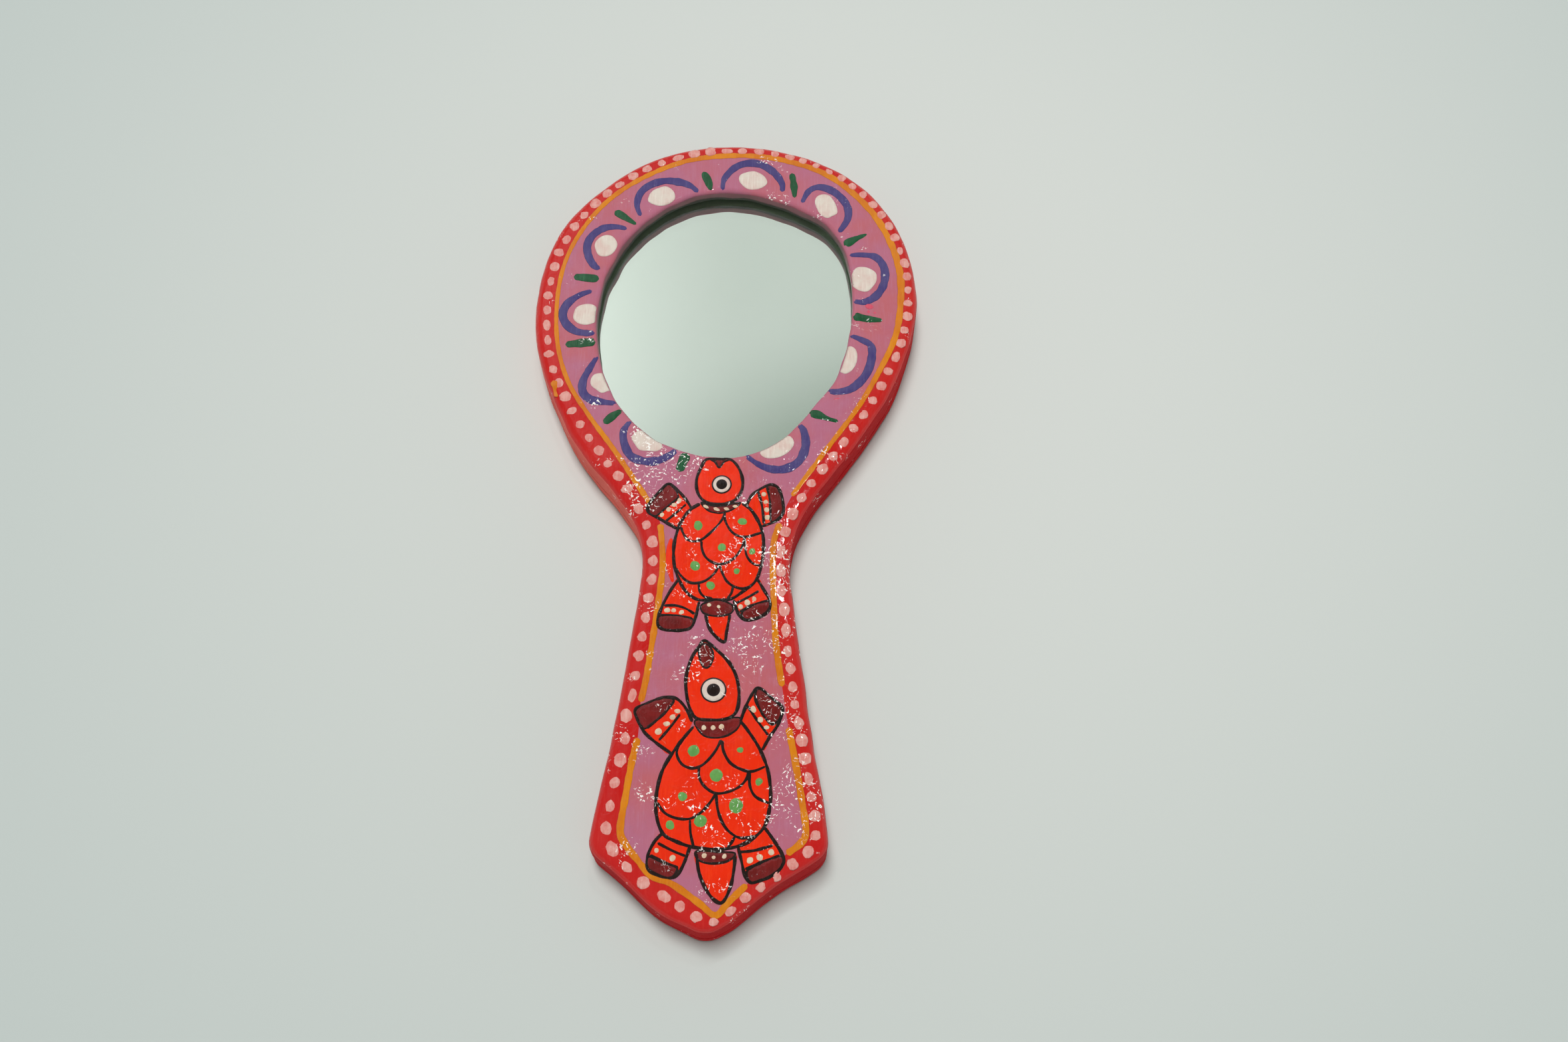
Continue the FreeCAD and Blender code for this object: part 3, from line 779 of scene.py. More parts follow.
def lay_on_board(tree, shape, board, lift):
    """Drops a shape's points on the board, lifted along its slope. Returns the laid shape and the slope."""
    solid = add_node(tree, "GeometryNodeObjectInfo", {"Object": board})
    here = add_node(tree, "GeometryNodeInputPosition")
    above = add_node(tree, VECTOR_MATH, {0: here, 1: (0, 0, RAY_RISE)}, operation="ADD")
    hit = add_node(tree, "GeometryNodeRaycast", {
        "Target Geometry": solid.outputs["Geometry"], "Source Position": above, "Ray Direction": (0, 0, -1),
        "Ray Length": 2 * RAY_RISE}).outputs
    off = add_node(tree, VECTOR_MATH, {0: hit["Hit Normal"], "Scale": lift}, operation="SCALE")
    spot = add_node(tree, VECTOR_MATH, {0: hit["Hit Position"], 1: off}, operation="ADD")
    laid = add_node(tree, "GeometryNodeSetPosition", {"Geometry": shape, "Selection": hit["Is Hit"],
                                                      "Position": spot})
    return laid, hit["Hit Normal"]


def close_tree(tree, shape, paint):
    """Shades a shape smooth, makes it real, gives it its paint, and ends the tree with it."""
    soft = add_node(tree, "GeometryNodeSetShadeSmooth", {"Geometry": shape})
    real = add_node(tree, "GeometryNodeRealizeInstances", {"Geometry": soft})
    painted = add_node(tree, "GeometryNodeSetMaterial", {"Geometry": real, "Material": paint})
    add_node(tree, "NodeGroupOutput", {"Geometry": painted})


# %% The brush stroke tree: where a stroke lies
stroke_tree, given = open_tree("brush_stroke", Board="Object", Step="Float", Flatness="Float", Lift="Float",
                               Ragged="Float", Paint="Material")
tree = stroke_tree
curve = add_node(tree, "GeometryNodeMeshToCurve", {"Mesh": given["Geometry"]})
smooth = add_node(tree, "GeometryNodeCurveSplineType", {"Curve": curve}, spline_type="CATMULL_ROM")
even = add_node(tree, "GeometryNodeResampleCurve", {"Curve": smooth, "Length": given["Step"]}, mode="LENGTH")
laid, _ = lay_on_board(tree, even, given["Board"], given["Lift"])
upright = add_node(tree, "GeometryNodeSetCurveNormal", {"Curve": laid}, mode="Z_UP")
print("a stroke takes", [socket.name for socket in given if socket.name])

# %% The brush stroke tree: how wide it is
# Near an end the width follows a circle, so the end is round, but it never comes to nothing.
BLUNT = 1.02        # a little over one, which leaves the very end a seventh as wide as the stroke
WOBBLE = 3.0        # how far apart the ragged places on its sides are, mm
half_width = add_node(tree, "GeometryNodeInputNamedAttribute", {"Name": "half_width"}, data_type="FLOAT")
run = add_node(tree, "GeometryNodeSplineParameter").outputs["Length"]
whole = add_node(tree, "GeometryNodeSplineLength").outputs["Length"]
rest = add_node(tree, MATH, {0: whole, 1: run}, operation="SUBTRACT")
to_end = add_node(tree, MATH, {0: run, 1: rest}, operation="MINIMUM")
part = add_node(tree, MATH, {0: to_end, 1: half_width}, operation="DIVIDE", use_clamp=True)
short = add_node(tree, MATH, {0: 1.0, 1: part}, operation="SUBTRACT")
square = add_node(tree, MATH, {0: short, 1: short}, operation="MULTIPLY")
left_over = add_node(tree, MATH, {0: BLUNT, 1: square}, operation="SUBTRACT")
rounded = add_node(tree, MATH, {0: left_over}, operation="SQRT")
ring_shaped = add_node(tree, "GeometryNodeInputSplineCyclic")
width = add_node(tree, "GeometryNodeSwitch", {"Switch": ring_shaped, "False": rounded, "True": 1.0},
                 input_type="FLOAT")
wobble = add_node(tree, NOISE, {"Scale": every(WOBBLE), "Detail": 2.0}, normalize=False)
ragged = add_node(tree, MATH, {0: wobble, 1: given["Ragged"], 2: 1.0}, operation="MULTIPLY_ADD")
for share in (half_width, ragged):
    width = add_node(tree, MATH, {0: width, 1: share}, operation="MULTIPLY")
print(len(tree.nodes), "nodes so far")

# %% The brush stroke tree: what is swept along it
# A circle is pressed flat, most of all near its rim, so the bead is a lens that meets the board thinly.
BEAD_SIDES = 12
circle = add_node(tree, "GeometryNodeCurvePrimitiveCircle", {"Resolution": BEAD_SIDES, "Radius": 1.0})
here = add_node(tree, SEPARATE, {0: add_node(tree, "GeometryNodeInputPosition")}).outputs
steep = add_node(tree, MATH, {0: here["Y"]}, operation="ABSOLUTE")
bulge = add_node(tree, MATH, {0: here["Y"], 1: steep}, operation="MULTIPLY")
low = add_node(tree, MATH, {0: bulge, 1: given["Flatness"]}, operation="MULTIPLY")
lens = add_node(tree, "ShaderNodeCombineXYZ", {"X": here["X"], "Y": low})
bead = add_node(tree, "GeometryNodeSetPosition", {"Geometry": circle, "Position": lens})
swept = add_node(tree, "GeometryNodeCurveToMesh", {"Curve": upright, "Profile Curve": bead, "Scale": width,
                                                   "Fill Caps": True})
close_tree(tree, swept, given["Paint"])
print("brush stroke tree of", len(tree.nodes), "nodes")

# %% Paint strokes with the tree
LIP_MARGIN = 0.45       # how near paint comes to the opening's edge, mm
OPENING_MIDDLE = cut_opening.mean(0)
opening_turns = np.arctan2(*(cut_opening - OPENING_MIDDLE).T[::-1])
opening_order = np.argsort(opening_turns)
opening_radii = np.linalg.norm(cut_opening - OPENING_MIDDLE, axis=1)


def keep_on_board(points, margin=LIP_MARGIN):
    """Points moved out of the opening, to at least a margin from its edge."""
    away = np.array(points, float) - OPENING_MIDDLE
    edge = np.interp(np.arctan2(away[:, 1], away[:, 0]), opening_turns[opening_order],
                     opening_radii[opening_order], period=2 * math.pi)
    radii = np.maximum(np.linalg.norm(away, axis=1), 1e-6)
    return OPENING_MIDDLE + away * np.maximum(1, (edge + margin) / radii)[:, None]


def run_tree(name, spots, edges, attributes, tree, **settings):
    """Gives points and edges to a geometry tree, and makes what comes out a plain mesh piece."""
    data = bpy.data.meshes.new(name)
    data.from_pydata([(x * MM, y * MM, FACE * MM) for x, y in spots], edges, [])
    for attribute, values in attributes.items():
        data.attributes.new(attribute, "FLOAT", "POINT").data.foreach_set("value", [v * MM for v in values])
    piece = add_object(name, data)
    modifier = piece.modifiers.new("paint", "NODES")
    modifier.node_group = tree
    settings["Board"] = front_board
    for socket in tree.interface.items_tree:
        if socket.in_out == "INPUT" and socket.name in settings:
            modifier[socket.identifier] = settings[socket.name]
    grown = piece.evaluated_get(bpy.context.evaluated_depsgraph_get())
    piece.data = bpy.data.meshes.new_from_object(grown)
    piece.modifiers.clear()
    piece.data.name = name
    mount(piece, "painted_wood")


def paint_strokes(name, strokes, paint, closed=(), step=0.45, flatness=0.035, lift=0.02, ragged=0.22):
    """Lays strokes on the board. A stroke is its points and its half widths, and closed ones run round."""
    spots, edges, widths = [], [], []
    for number, (points, half) in enumerate((*strokes, *closed)):
        first, count = len(spots), len(points)
        spots += [tuple(p) for p in keep_on_board(points)]
        shares = np.linspace(0, 1, np.size(half))
        widths += list(np.interp(np.linspace(0, 1, count), shares, np.atleast_1d(half)))
        edges += [(first + i, first + i + 1) for i in range(count - 1)]
        if number >= len(strokes):
            edges.append((first + count - 1, first))
    run_tree(name, spots, edges, {"half_width": widths}, stroke_tree, Step=step * MM, Flatness=flatness,
             Lift=lift * MM, Ragged=ragged, Paint=paint)


# %% [markdown]
# ## The orange line
# An orange line about two millimetres wide divides the red border from the mauve ground. The animals
# were painted over it, so it comes in runs. A small slip of the same orange is on the left border, and
# is laid higher, because it crosses one of the border's dots.

# %% Orange line
LINE_HALVES = ((0.8, 0.65, 0.66, 0.8, 0.95, 1.05, 1.1, 0.85, 0.65), 0.9, 0.95, 0.95, 0.9)
OVER_DOTS = 0.14    # how high a stroke lies that crosses other paint, mm
orange_slip = (((-50, 38.2), (-49.4, 36.8), (-49.2, 35), (-48.4, 33)), (1.4, 1.1, 0.5, 1.0))
paint_strokes("orange_line", list(zip(LINE_RUNS, LINE_HALVES)), orange_paint)
paint_strokes("orange_slip", [orange_slip], orange_paint, lift=OVER_DOTS)

# %% [markdown]
# ## Petals and leaves
# Ten petals stand round the glass: a purple arc, open towards the lip, with a white dab inside it,
# and a green leaf between one petal and the next. The arcs and leaves are strokes. Each is given by
# the few points where the brush turned, and every leaf has its own widths, as no two are alike.

# %% Purple arcs and green leaves
ARC_HALVES = (0.6, 1.15, 1.3, 1.25, 0.7)
PETAL_ARCS = (
    ((-2, 106), (-1.4, 110.3), (2, 114.5), (6.2, 116), (10.4, 115.2), (14.2, 112.3), (16.5, 108.5),
     (16.6, 105.5)),
    ((22.8, 101.6), (25, 106), (28.5, 107.4), (33, 105.5), (36.6, 101), (37, 96), (34.3, 91)),
    ((37.6, 82.8), (41.5, 83), (45.6, 82.2), (48.1, 78.4), (48, 73), (45.6, 68.6), (42, 66.4),
     (38.6, 66.6)),
    ((37, 54.9), (41, 53.4), (44, 51.2), (43.9, 46), (42, 41), (38.2, 37), (34, 35.8), (31, 36.2)),
    ((7.4, 15), (11, 12), (15, 10.4), (19.2, 10.6), (23, 13.2), (24.8, 18), (24.2, 22.8), (22.2, 25.6)),
    ((-26, 26), (-28.3, 22), (-27.9, 18), (-25.8, 14), (-22, 12.4), (-18, 12.6), (-14.6, 14.4),
     (-12.6, 16.4)),
    ((-37, 46.8), (-39.2, 43), (-41.1, 38.5), (-41, 34.6), (-38.6, 32.2), (-35, 31.4), (-31, 31)),
    ((-40.4, 69), (-44, 67.5), (-47.4, 64.6), (-48.7, 61), (-47.5, 57.6), (-44.6, 55.1), (-41.2, 54.4),
     (-38.6, 54.6)),
    ((-31, 91.2), (-34, 91.9), (-38, 91.4), (-41.4, 88.7), (-42.8, 85), (-42.1, 81), (-40.2, 77.8),
     (-38.4, 76.8)),
    ((-27, 96), (-28.3, 100), (-27.4, 104.4), (-24.5, 107.4), (-20, 109), (-15, 108.5), (-11.6, 107),
     (-9.6, 105)),
)
# Each leaf is its points, from the ground to the lip, and the half widths that the brush left.
LEAVES = ((((-8.2, 112.6), (-6.6, 109.2), (-5.6, 105.8)), (0.8, 1.35, 0.5)),
          (((19.5, 112.4), (20.2, 108), (20.5, 103.4)), (0.85, 1.1, 1.2, 0.6)),
          (((42.9, 90.5), (39.2, 88.6), (35.2, 85.9)), (0.35, 1.05, 1.4)),
          (((47.4, 60.1), (42.6, 60.6), (37.8, 61.5)), (0.8, 1.1, 1.75)),
          (((34.2, 26.1), (31, 27), (28.2, 28.2), (25.1, 29.4)), (0.5, 0.8, 1.25, 0.95)),
          (((-11.6, 9.2), (-10.7, 12.4), (-9.4, 15.6)), (1.3, 1.55, 1.2)),
          (((-34.2, 24.4), (-31.6, 27), (-28.2, 29.8)), (0.85, 1.3, 0.55)),
          (((-47.2, 50.4), (-42.5, 51), (-37, 51.8)), (0.95, 1.45, 1.3)),
          (((-46.2, 73.9), (-42.6, 73.6), (-38.5, 73.2)), (1.0, 1.3, 1.0)),
          (((-35, 97.6), (-31.8, 95.4), (-28.2, 92.9)), (1.2, 1.2, 0.45)))
paint_strokes("petal_arcs", [(arc, ARC_HALVES) for arc in PETAL_ARCS], purple_paint)
paint_strokes("leaves", LEAVES, leaf_paint)

# %% [markdown]
# ## Patches of paint
# The white dabs and the animals are filled shapes, not lines. A patch is a smooth loop through a few
# points, filled with small triangles, laid on the board by ray casts and thickened towards its middle,
# so its edge is the soft step that a loaded brush leaves. Small triangles let a patch bend over the
# lip. Solidify then gives it an underside, so it is a closed film.

# %% Fill a loop with paint
FILM_EDGE = 0.5     # how far in from its edge a patch reaches its thickness, mm
FILM_DEPTH = 0.08   # how far its underside lies below its top, mm
FILM_LIFT = 0.01    # how far its edge stands off the board, mm
LOOP_STEP = 0.4     # how far apart the points of its loop are at first, mm
LOOP_SHARE = 0.9    # how many of them are kept when they are spaced evenly
LOOP_LEAST = 12     # the fewest that a loop has
RAY_START = 0.05    # well above the mirror, m


def paint_patches(name, patches, paint, grain=0.8, margin=LIP_MARGIN):
    """Films of paint on the board. A patch is its points, the coats below it and its thickness, in mm.
    The grain is the size of its triangles, and the margin is how near it comes to the opening."""
    mesh = bmesh.new()
    for points, below, thickness in patches:
        loop = keep_on_board(through(points, LOOP_STEP), margin)
        count = max(LOOP_LEAST, int(len(loop) * LOOP_SHARE))
        spots, faces = flat_fill(evenly(loop, count), spacing=grain)
        depth = np.clip(gap_to(spots, loop) / FILM_EDGE, 0, 1)
        films = below + thickness * depth * (2 - depth)
        made = []
        for (x, y), film in zip(spots, films):
            hit = board_tree.ray_cast(Vector((x * MM, y * MM, RAY_START)), Vector((0, 0, -1)))[0]
            made.append(mesh.verts.new((x * MM, y * MM, hit.z + (film + FILM_LIFT) * MM)))
        for corners in faces:
            mesh.faces.new([made[c] for c in corners]).smooth = True
    mesh.normal_update()
    for face in mesh.faces:
        if face.normal.z < 0:
            face.normal_flip()
    piece = to_piece(mesh, name, paint)
    film = piece.modifiers.new("film", "SOLIDIFY")
    film.thickness = FILM_DEPTH * MM
    film.offset = -1
    mount(piece, "painted_wood")


# %% White dabs
DAB_POINTS = 11
DAB_SWELL = 0.16    # how far a dab's edge swells or falls short, as a share of its size
DAB_LUMPS, DAB_APART = 2, 7.3       # how lumpy the edge is, and how far apart two dabs read the noise
DAB_BELOW, DAB_FILM = 0.04, 0.06    # where a dab starts above the board, and its thickness, mm
DAB_GRAIN, DAB_MARGIN = 0.5, 0.35   # its triangles, and how near it comes to the opening, mm
# Each dab is where it lies, its half length and half width, and its slant in degrees.
WHITE_DABS = ((7.5, 109.6, 4.5, 3.3, -12), (30.3, 100.5, 4.4, 3.2, -62), (41.8, 74.5, 4.3, 3.8, 90),
              (36.6, 46.6, 4.7, 3.2, 75), (16.6, 17.6, 5.2, 3.3, 32), (-21.2, 18.8, 4.6, 3.2, -24),
              (-35.3, 37.8, 3.7, 3.2, -30), (-41.6, 60.9, 4.1, 3.7, 10), (-37, 85, 4.0, 3.3, 70),
              (-20.8, 103.3, 4.3, 3.4, 12))


def dab(x, y, half_long, half_short, slant, seed):
    """A loop round an uneven oval dab."""
    c, s = math.cos(math.radians(slant)), math.sin(math.radians(slant))
    loop = []
    for t in np.linspace(0, 2 * math.pi, DAB_POINTS, endpoint=False):
        spot = Vector((DAB_LUMPS * math.cos(t), DAB_LUMPS * math.sin(t), DAB_APART * seed))
        swell = 1 + DAB_SWELL * noise.noise(spot)
        u, v = half_long * swell * math.cos(t), half_short * swell * math.sin(t)
        loop.append((x + u * c - v * s, y + u * s + v * c))
    return loop


dabs = [(dab(*spec, k), DAB_BELOW, DAB_FILM) for k, spec in enumerate(WHITE_DABS)]
paint_patches("white_dabs", dabs, white_paint, DAB_GRAIN, DAB_MARGIN)

# %% [markdown]
# ## The two animals
# A folk painter's turtle, seen from above, is painted twice on the handle, red with a black line round
# every part, and its shell is a few overlapping scales. Each is written as what the brush did: red
# shapes first, then dark red ends, then lines, then spots. The same function paints both from their
# own points. Later coats stand a little higher, so no two films share a plane.

# %% What the brush did
# Shapes and lines are points. A dot is its place and its width, and the eye its place and three radii.
UPPER = {
    "whole": (
        ((-3.8, 13.2), (-5.4, 10.4), (-6.5, 6.5), (-5.9, 2.4), (-3.6, -0.2), (0.5, -0.9), (4.4, 0.2),
         (6.4, 3), (6.8, 6.5), (5.6, 10.5), (3.2, 13.2), (0, 13.2)),
        ((-5.2, -0.8), (-8.2, -3), (-10.6, -7), (-12, -12.5), (-12.1, -17.5), (-11.2, -22), (-8.6, -27.2),
         (-5, -30), (-0.6, -30), (4.2, -29.8), (8, -27.2), (11.2, -24.2), (12.8, -18.8), (13.2, -12.5),
         (12.2, -7.5), (9.6, -2.8), (6.8, -0.5)),
    ),
    "limbs": (
        ((-7.6, -2.4), (-9, 0), (-11.5, 3), (-14.4, 5.3), (-17, 2.7), (-19.6, -0.8), (-19.9, -3.6),
         (-16.5, -5.7), (-11.4, -8.7)),
        ((8, -1.4), (9.6, 2), (12.5, 4.4), (15.2, 5.5), (17.2, 4.2), (18.4, 0.5), (18.6, -3.5),
         (16.5, -5.9), (12.6, -7.6)),
        ((-10.2, -23.8), (-12.4, -27.2), (-14.4, -31.5), (-15.7, -36), (-15, -38.6), (-11, -39.3),
         (-7, -38.7), (-5.4, -35.8), (-4.4, -30.6)),
        ((11.6, -23.6), (13.5, -26.8), (15.2, -30), (15, -33), (12, -35.3), (8.6, -35.9), (6.6, -34),
         (5.2, -30)),
        ((-2.5, -34.2), (-1.6, -37.8), (0.2, -40.5), (2.9, -42.4), (3.5, -39.4), (4.3, -34.2)),
    ),
    "dark": (
        ((-4.9, -0.4), (-3.2, -2.6), (-0.5, -3.6), (2, -3.3), (4.3, -2.3), (6.3, -0.4), (3.4, -0.9),
         (0.5, -1.5), (-2.5, -1.2)),
        ((-14.4, 5.1), (-17, 2.6), (-19.4, -0.9), (-19.7, -3.4), (-17.6, -4.7), (-14.5, -1.8),
         (-11.6, 1.3)),
        ((13.9, 4.9), (15.3, 5.2), (17, 4), (18.2, 0.4), (18.3, -3.4), (16.6, -5.5), (15.1, -5.9),
         (14.9, -2.5), (14.6, 1.2)),
        ((-15.4, -35.2), (-11.2, -34.9), (-6.2, -35.8), (-6.6, -38.3), (-11, -39.1), (-14.8, -38.4)),
        ((7.6, -33.8), (10.6, -31.6), (14.8, -30.2), (14.8, -32.8), (12, -35), (8.7, -35.6)),
        ((-3.7, -31.6), (0.6, -30.1), (4.9, -31.6), (4.4, -34), (0.6, -34.8), (-3, -34)),
        ((-2.5, 13.3), (-1.3, 12.4), (-0.1, 10.6), (1.2, 12.4), (2.5, 13.3)),
    ),
    "lines": (
        ((-11.2, 1.5), (-14.3, -1.6), (-17.4, -4.6)),
        ((-9.2, -1), (-12, -3.8), (-14.8, -6.4)),
        ((13.8, 4.8), (14.7, 0.8), (15.1, -5.8)),
        ((11.2, 3.6), (12.5, -1.2), (13.2, -6.9)),
        ((-14.2, -32), (-11, -31.9), (-8, -32.8), (-5.5, -34.4)),
        ((-15.4, -34.9), (-11, -34.8), (-6.1, -35.7)),
        ((5.8, -31), (8.6, -29.5), (12.2, -27.2)),
        ((6.9, -33.6), (10.4, -31.5), (15, -30)),
        ((-10.4, -8.1), (-9.7, -10), (-8.4, -11.9), (-6.6, -12.5), (-4.4, -11.9), (-2.2, -10), (0, -7.5),
         (1.6, -5), (2, -3.4)),
        ((1.8, -4.6), (2.5, -6.9), (4.1, -9.4), (6.2, -10.7), (8.8, -10.8), (11.2, -10), (13, -9.4)),
        ((-4.4, -12.3), (-4.2, -14.7), (-3.1, -17.2), (-0.9, -18.9), (1.3, -19.3), (3.8, -18.4),
         (5.9, -16.3), (7.2, -13.8), (7.8, -11)),
        ((7.8, -11), (8, -13.8), (8.4, -16.3), (9.4, -18.1), (10.9, -19.3), (12.6, -19.5)),
        ((-11.4, -20.6), (-9.7, -23.1), (-7.5, -24.9), (-5, -25.1), (-2.5, -24.1), (-0.3, -21.9),
         (0.8, -19.5)),
        ((0.9, -19.6), (1.9, -22.2), (3.1, -24.4), (5, -25.9), (7.5, -26.6), (9.8, -25.9)),
        ((-4.7, -25.3), (-4.4, -27.5), (-3.1, -29.1), (-0.6, -29.8)),
        ((4.9, -26), (4.5, -28), (3.4, -29.7)),
    ),
    "cream": ((-11.2, 0.1, 1.2), (-12.6, -1.2, 1.1), (-14.2, -2.7, 1.3), (-16, -4.4, 1.1), (13, 2.4, 1.0),
              (13.6, 0, 1.2), (13.9, -2.4, 1.1), (14.1, -4.8, 1.2), (-13.2, -33.3, 1.2),
              (-11.5, -33.3, 1.0), (-9.2, -33.9, 1.1), (7.2, -32, 1.0), (9, -30.7, 1.2),
              (10.9, -29.6, 1.1), (-1.6, -31.6, 0.9), (1.1, -32.1, 1.0)),
    "green": ((-5.5, -7.6, 2.9), (7, -6.2, 2.2), (1.4, -14.2, 2.8), (10, -15.3, 2), (-5.9, -19.9, 2.5),
              (5.8, -21.4, 2), (-1.4, -25.8, 2.3)),
    "eye": (0.8, 5.3, (2.95, 2.5, 1.6)),
}
LOWER = {
    "whole": (
        ((-2.4, -42.1), (1.2, -45), (4.2, -48), (6.4, -52), (7.4, -57), (6.9, -62), (4.4, -64.3),
         (0, -64.8), (-4, -64.3), (-5.9, -61.5), (-7, -57), (-7.2, -52.5), (-6, -47.5), (-4.2, -44.2)),
        ((-4.6, -66.6), (-7.8, -70.7), (-11, -75.7), (-12.9, -80), (-13.9, -86), (-13.5, -91.5),
         (-11.6, -96), (-8, -98), (-3.9, -99.3), (2, -99.9), (7, -99.3), (11.2, -97.5), (15, -93.7),
         (16.4, -88), (16.4, -83), (15.4, -77.5), (13, -72), (9.8, -67.2), (7.8, -64.8)),
    ),
    "limbs": (
        ((-5, -65.4), (-7.2, -61.2), (-10, -58.7), (-13.5, -58.7), (-17, -60.1), (-20.6, -62),
         (-19.8, -65), (-18, -68.3), (-14.5, -71.4), (-10.4, -74.2)),
        ((7.9, -65.2), (9.2, -61.2), (10.6, -58), (12.6, -55.4), (15.8, -57.9), (19.2, -60.8),
         (19, -63.8), (17.6, -66.8), (16, -69.2), (14, -73)),
        ((-11.8, -95.8), (-14, -98.4), (-15.4, -102), (-15.1, -105.4), (-12, -107), (-8.9, -107.5),
         (-7.2, -106.4), (-5.8, -103.6), (-4.4, -99.3)),
        ((15, -93.8), (17.4, -97), (19.8, -100.8), (20.2, -103.4), (18, -106), (14.5, -107.8),
         (11.7, -108.4), (10.2, -106.6), (9.2, -102.8), (8.2, -99)),
        ((-2.6, -101), (-1.8, -106), (0.2, -110.4), (2.6, -113.2), (4.7, -113.5), (6.6, -109.3),
         (7.4, -104), (7.4, -101)),
    ),
    "dark": (
        ((-3.9, -44.3), (-2.3, -43), (-0.3, -45), (-0.1, -47.6), (-1.4, -49.9), (-2.8, -49.4), (-3.7, -47)),
        ((-4.2, -64.9), (2, -64.9), (7.6, -64), (7.2, -67), (4, -69.2), (-0.3, -69.6), (-2.8, -68.2)),
        ((-20.4, -62.1), (-13.5, -58.9), (-10.3, -59.4), (-12.4, -62.5), (-16.9, -66.8), (-18.5, -67)),
        ((12.6, -55.7), (15.8, -58.1), (18.9, -61), (18.5, -63.9), (16.5, -65.7), (14, -63), (11.9, -58.9)),
        ((-15.1, -102.1), (-11.4, -103.6), (-7.6, -105), (-9, -107.3), (-12, -106.8), (-15, -105.2)),
        ((10.7, -105.6), (14, -103.6), (19.4, -101.4), (20, -103.2), (18, -105.8), (14.5, -107.6),
         (11.7, -108.2)),
        ((-2.6, -100.5), (2, -100.6), (7.4, -100.8), (5.5, -102.9), (1.2, -103.6), (-2.2, -102.6)),
    ),
    "lines": (
        ((-10.2, -59.5), (-13, -63.4), (-17.4, -67.4)),
        ((-8.4, -63.2), (-11, -67), (-13.9, -70.7)),
        ((11.6, -57.3), (14, -63), (17.2, -66)),
        ((9.7, -60.5), (12.6, -64.8), (15.6, -68.8)),
        ((-13, -98.4), (-9, -100.4), (-5.4, -101.8)),
        ((-14.8, -101.6), (-11.4, -103.3), (-7.2, -104.9)),
        ((8.6, -100.5), (12.6, -100), (17.4, -98.6)),
        ((10.2, -105), (14, -103.2), (19.4, -101.2)),
        ((-8.4, -71.6), (-8.9, -74.3), (-7.4, -77.1), (-4.6, -78.2), (-1.7, -77.1), (1.1, -73.9),
         (3, -70.2)),
        ((3.2, -70.4), (3.6, -73.2), (5.4, -76.4), (8.3, -78.2), (11.5, -78.8), (15, -77.4)),
        ((-2.8, -77.7), (-2.6, -80.7), (-1, -83.2), (1.9, -84.9), (5.4, -84.4), (8.3, -82.9),
         (10.1, -80.7), (10.6, -78.7)),
        ((10.7, -79), (11, -82.9), (12.6, -85.7), (16.2, -87.4)),
        ((-13.6, -87.6), (-11.4, -90.4), (-8.1, -91.8), (-4.6, -91.8), (-1.7, -90), (0.4, -87.5),
         (2, -84.9)),
        ((2, -85.1), (2.6, -89.3), (4, -92.9), (6.1, -95.4), (9, -96.8), (12.6, -96.2)),
        ((-4.7, -92), (-4.4, -95.7), (-3.5, -99.2)),
        ((7.4, -96.2), (6.6, -97.8), (5.4, -99.4)),
    ),
    "cream": ((-9.2, -62.4, 1.2), (-10.4, -64.1, 1.1), (-12, -66, 1.3), (-14.1, -68.2, 1.3),
              (11.4, -61.6, 1.4), (13.3, -64.5, 1.2), (15, -66.6, 1.1), (-13.2, -100.4, 1.1),
              (-8.9, -102.4, 1.3), (11.4, -102.6, 1.4), (14, -101.8, 1.3), (17, -100.4, 1.2),
              (-1.9, -67, 1.3), (0.6, -66.9, 1.2), (2.9, -66.6, 1.4), (-0.6, -101.6, 1.2),
              (1.9, -102, 1.1), (4.7, -101.7, 1.2)),
    "green": ((-4.4, -73.4, 2.9), (8.1, -73, 1.6), (1.9, -80, 3.2), (13.4, -81.6, 2), (-6.9, -85.9, 2.3),
              (7.4, -88.2, 3.6), (-9.9, -93.6, 2.4), (-1.9, -92.4, 3.0)),
    "eye": (0.4, -56.3, (3.6, 3.15, 1.85)),
}
for animal in (UPPER, LOWER):
    print(len(animal["lines"]), "lines and", len(animal["cream"] + animal["green"]), "dots")

# %% Paint the animals
# Half widths of the black lines, in mm: within a shape, and round a limb, the body and a dark end.
INNER_HALF, LIMB_HALF, BODY_HALF, END_HALF = 0.39, 0.45, 0.47, 0.32
RED_FILM, RED_STEP = 0.03, 0.004    # the red coat, and what each shape adds to it, mm
END_BELOW, END_FILM = 0.05, 0.03    # where a dark end starts above the board, and its thickness, mm
# Each part of an eye is its name, where it starts above the board, in mm, and its paint.
EYE_PARTS = (("socket", 0.08, black_paint), ("white", 0.13, white_paint), ("pupil", 0.18, black_paint))
EYE_FILM = 0.05


def disc(x, y, radius, count=8):
    """A loop of points round a centre."""
    turns = np.linspace(0, 2 * math.pi, count, endpoint=False)
    return [(x + radius * math.cos(t), y + radius * math.sin(t)) for t in turns]


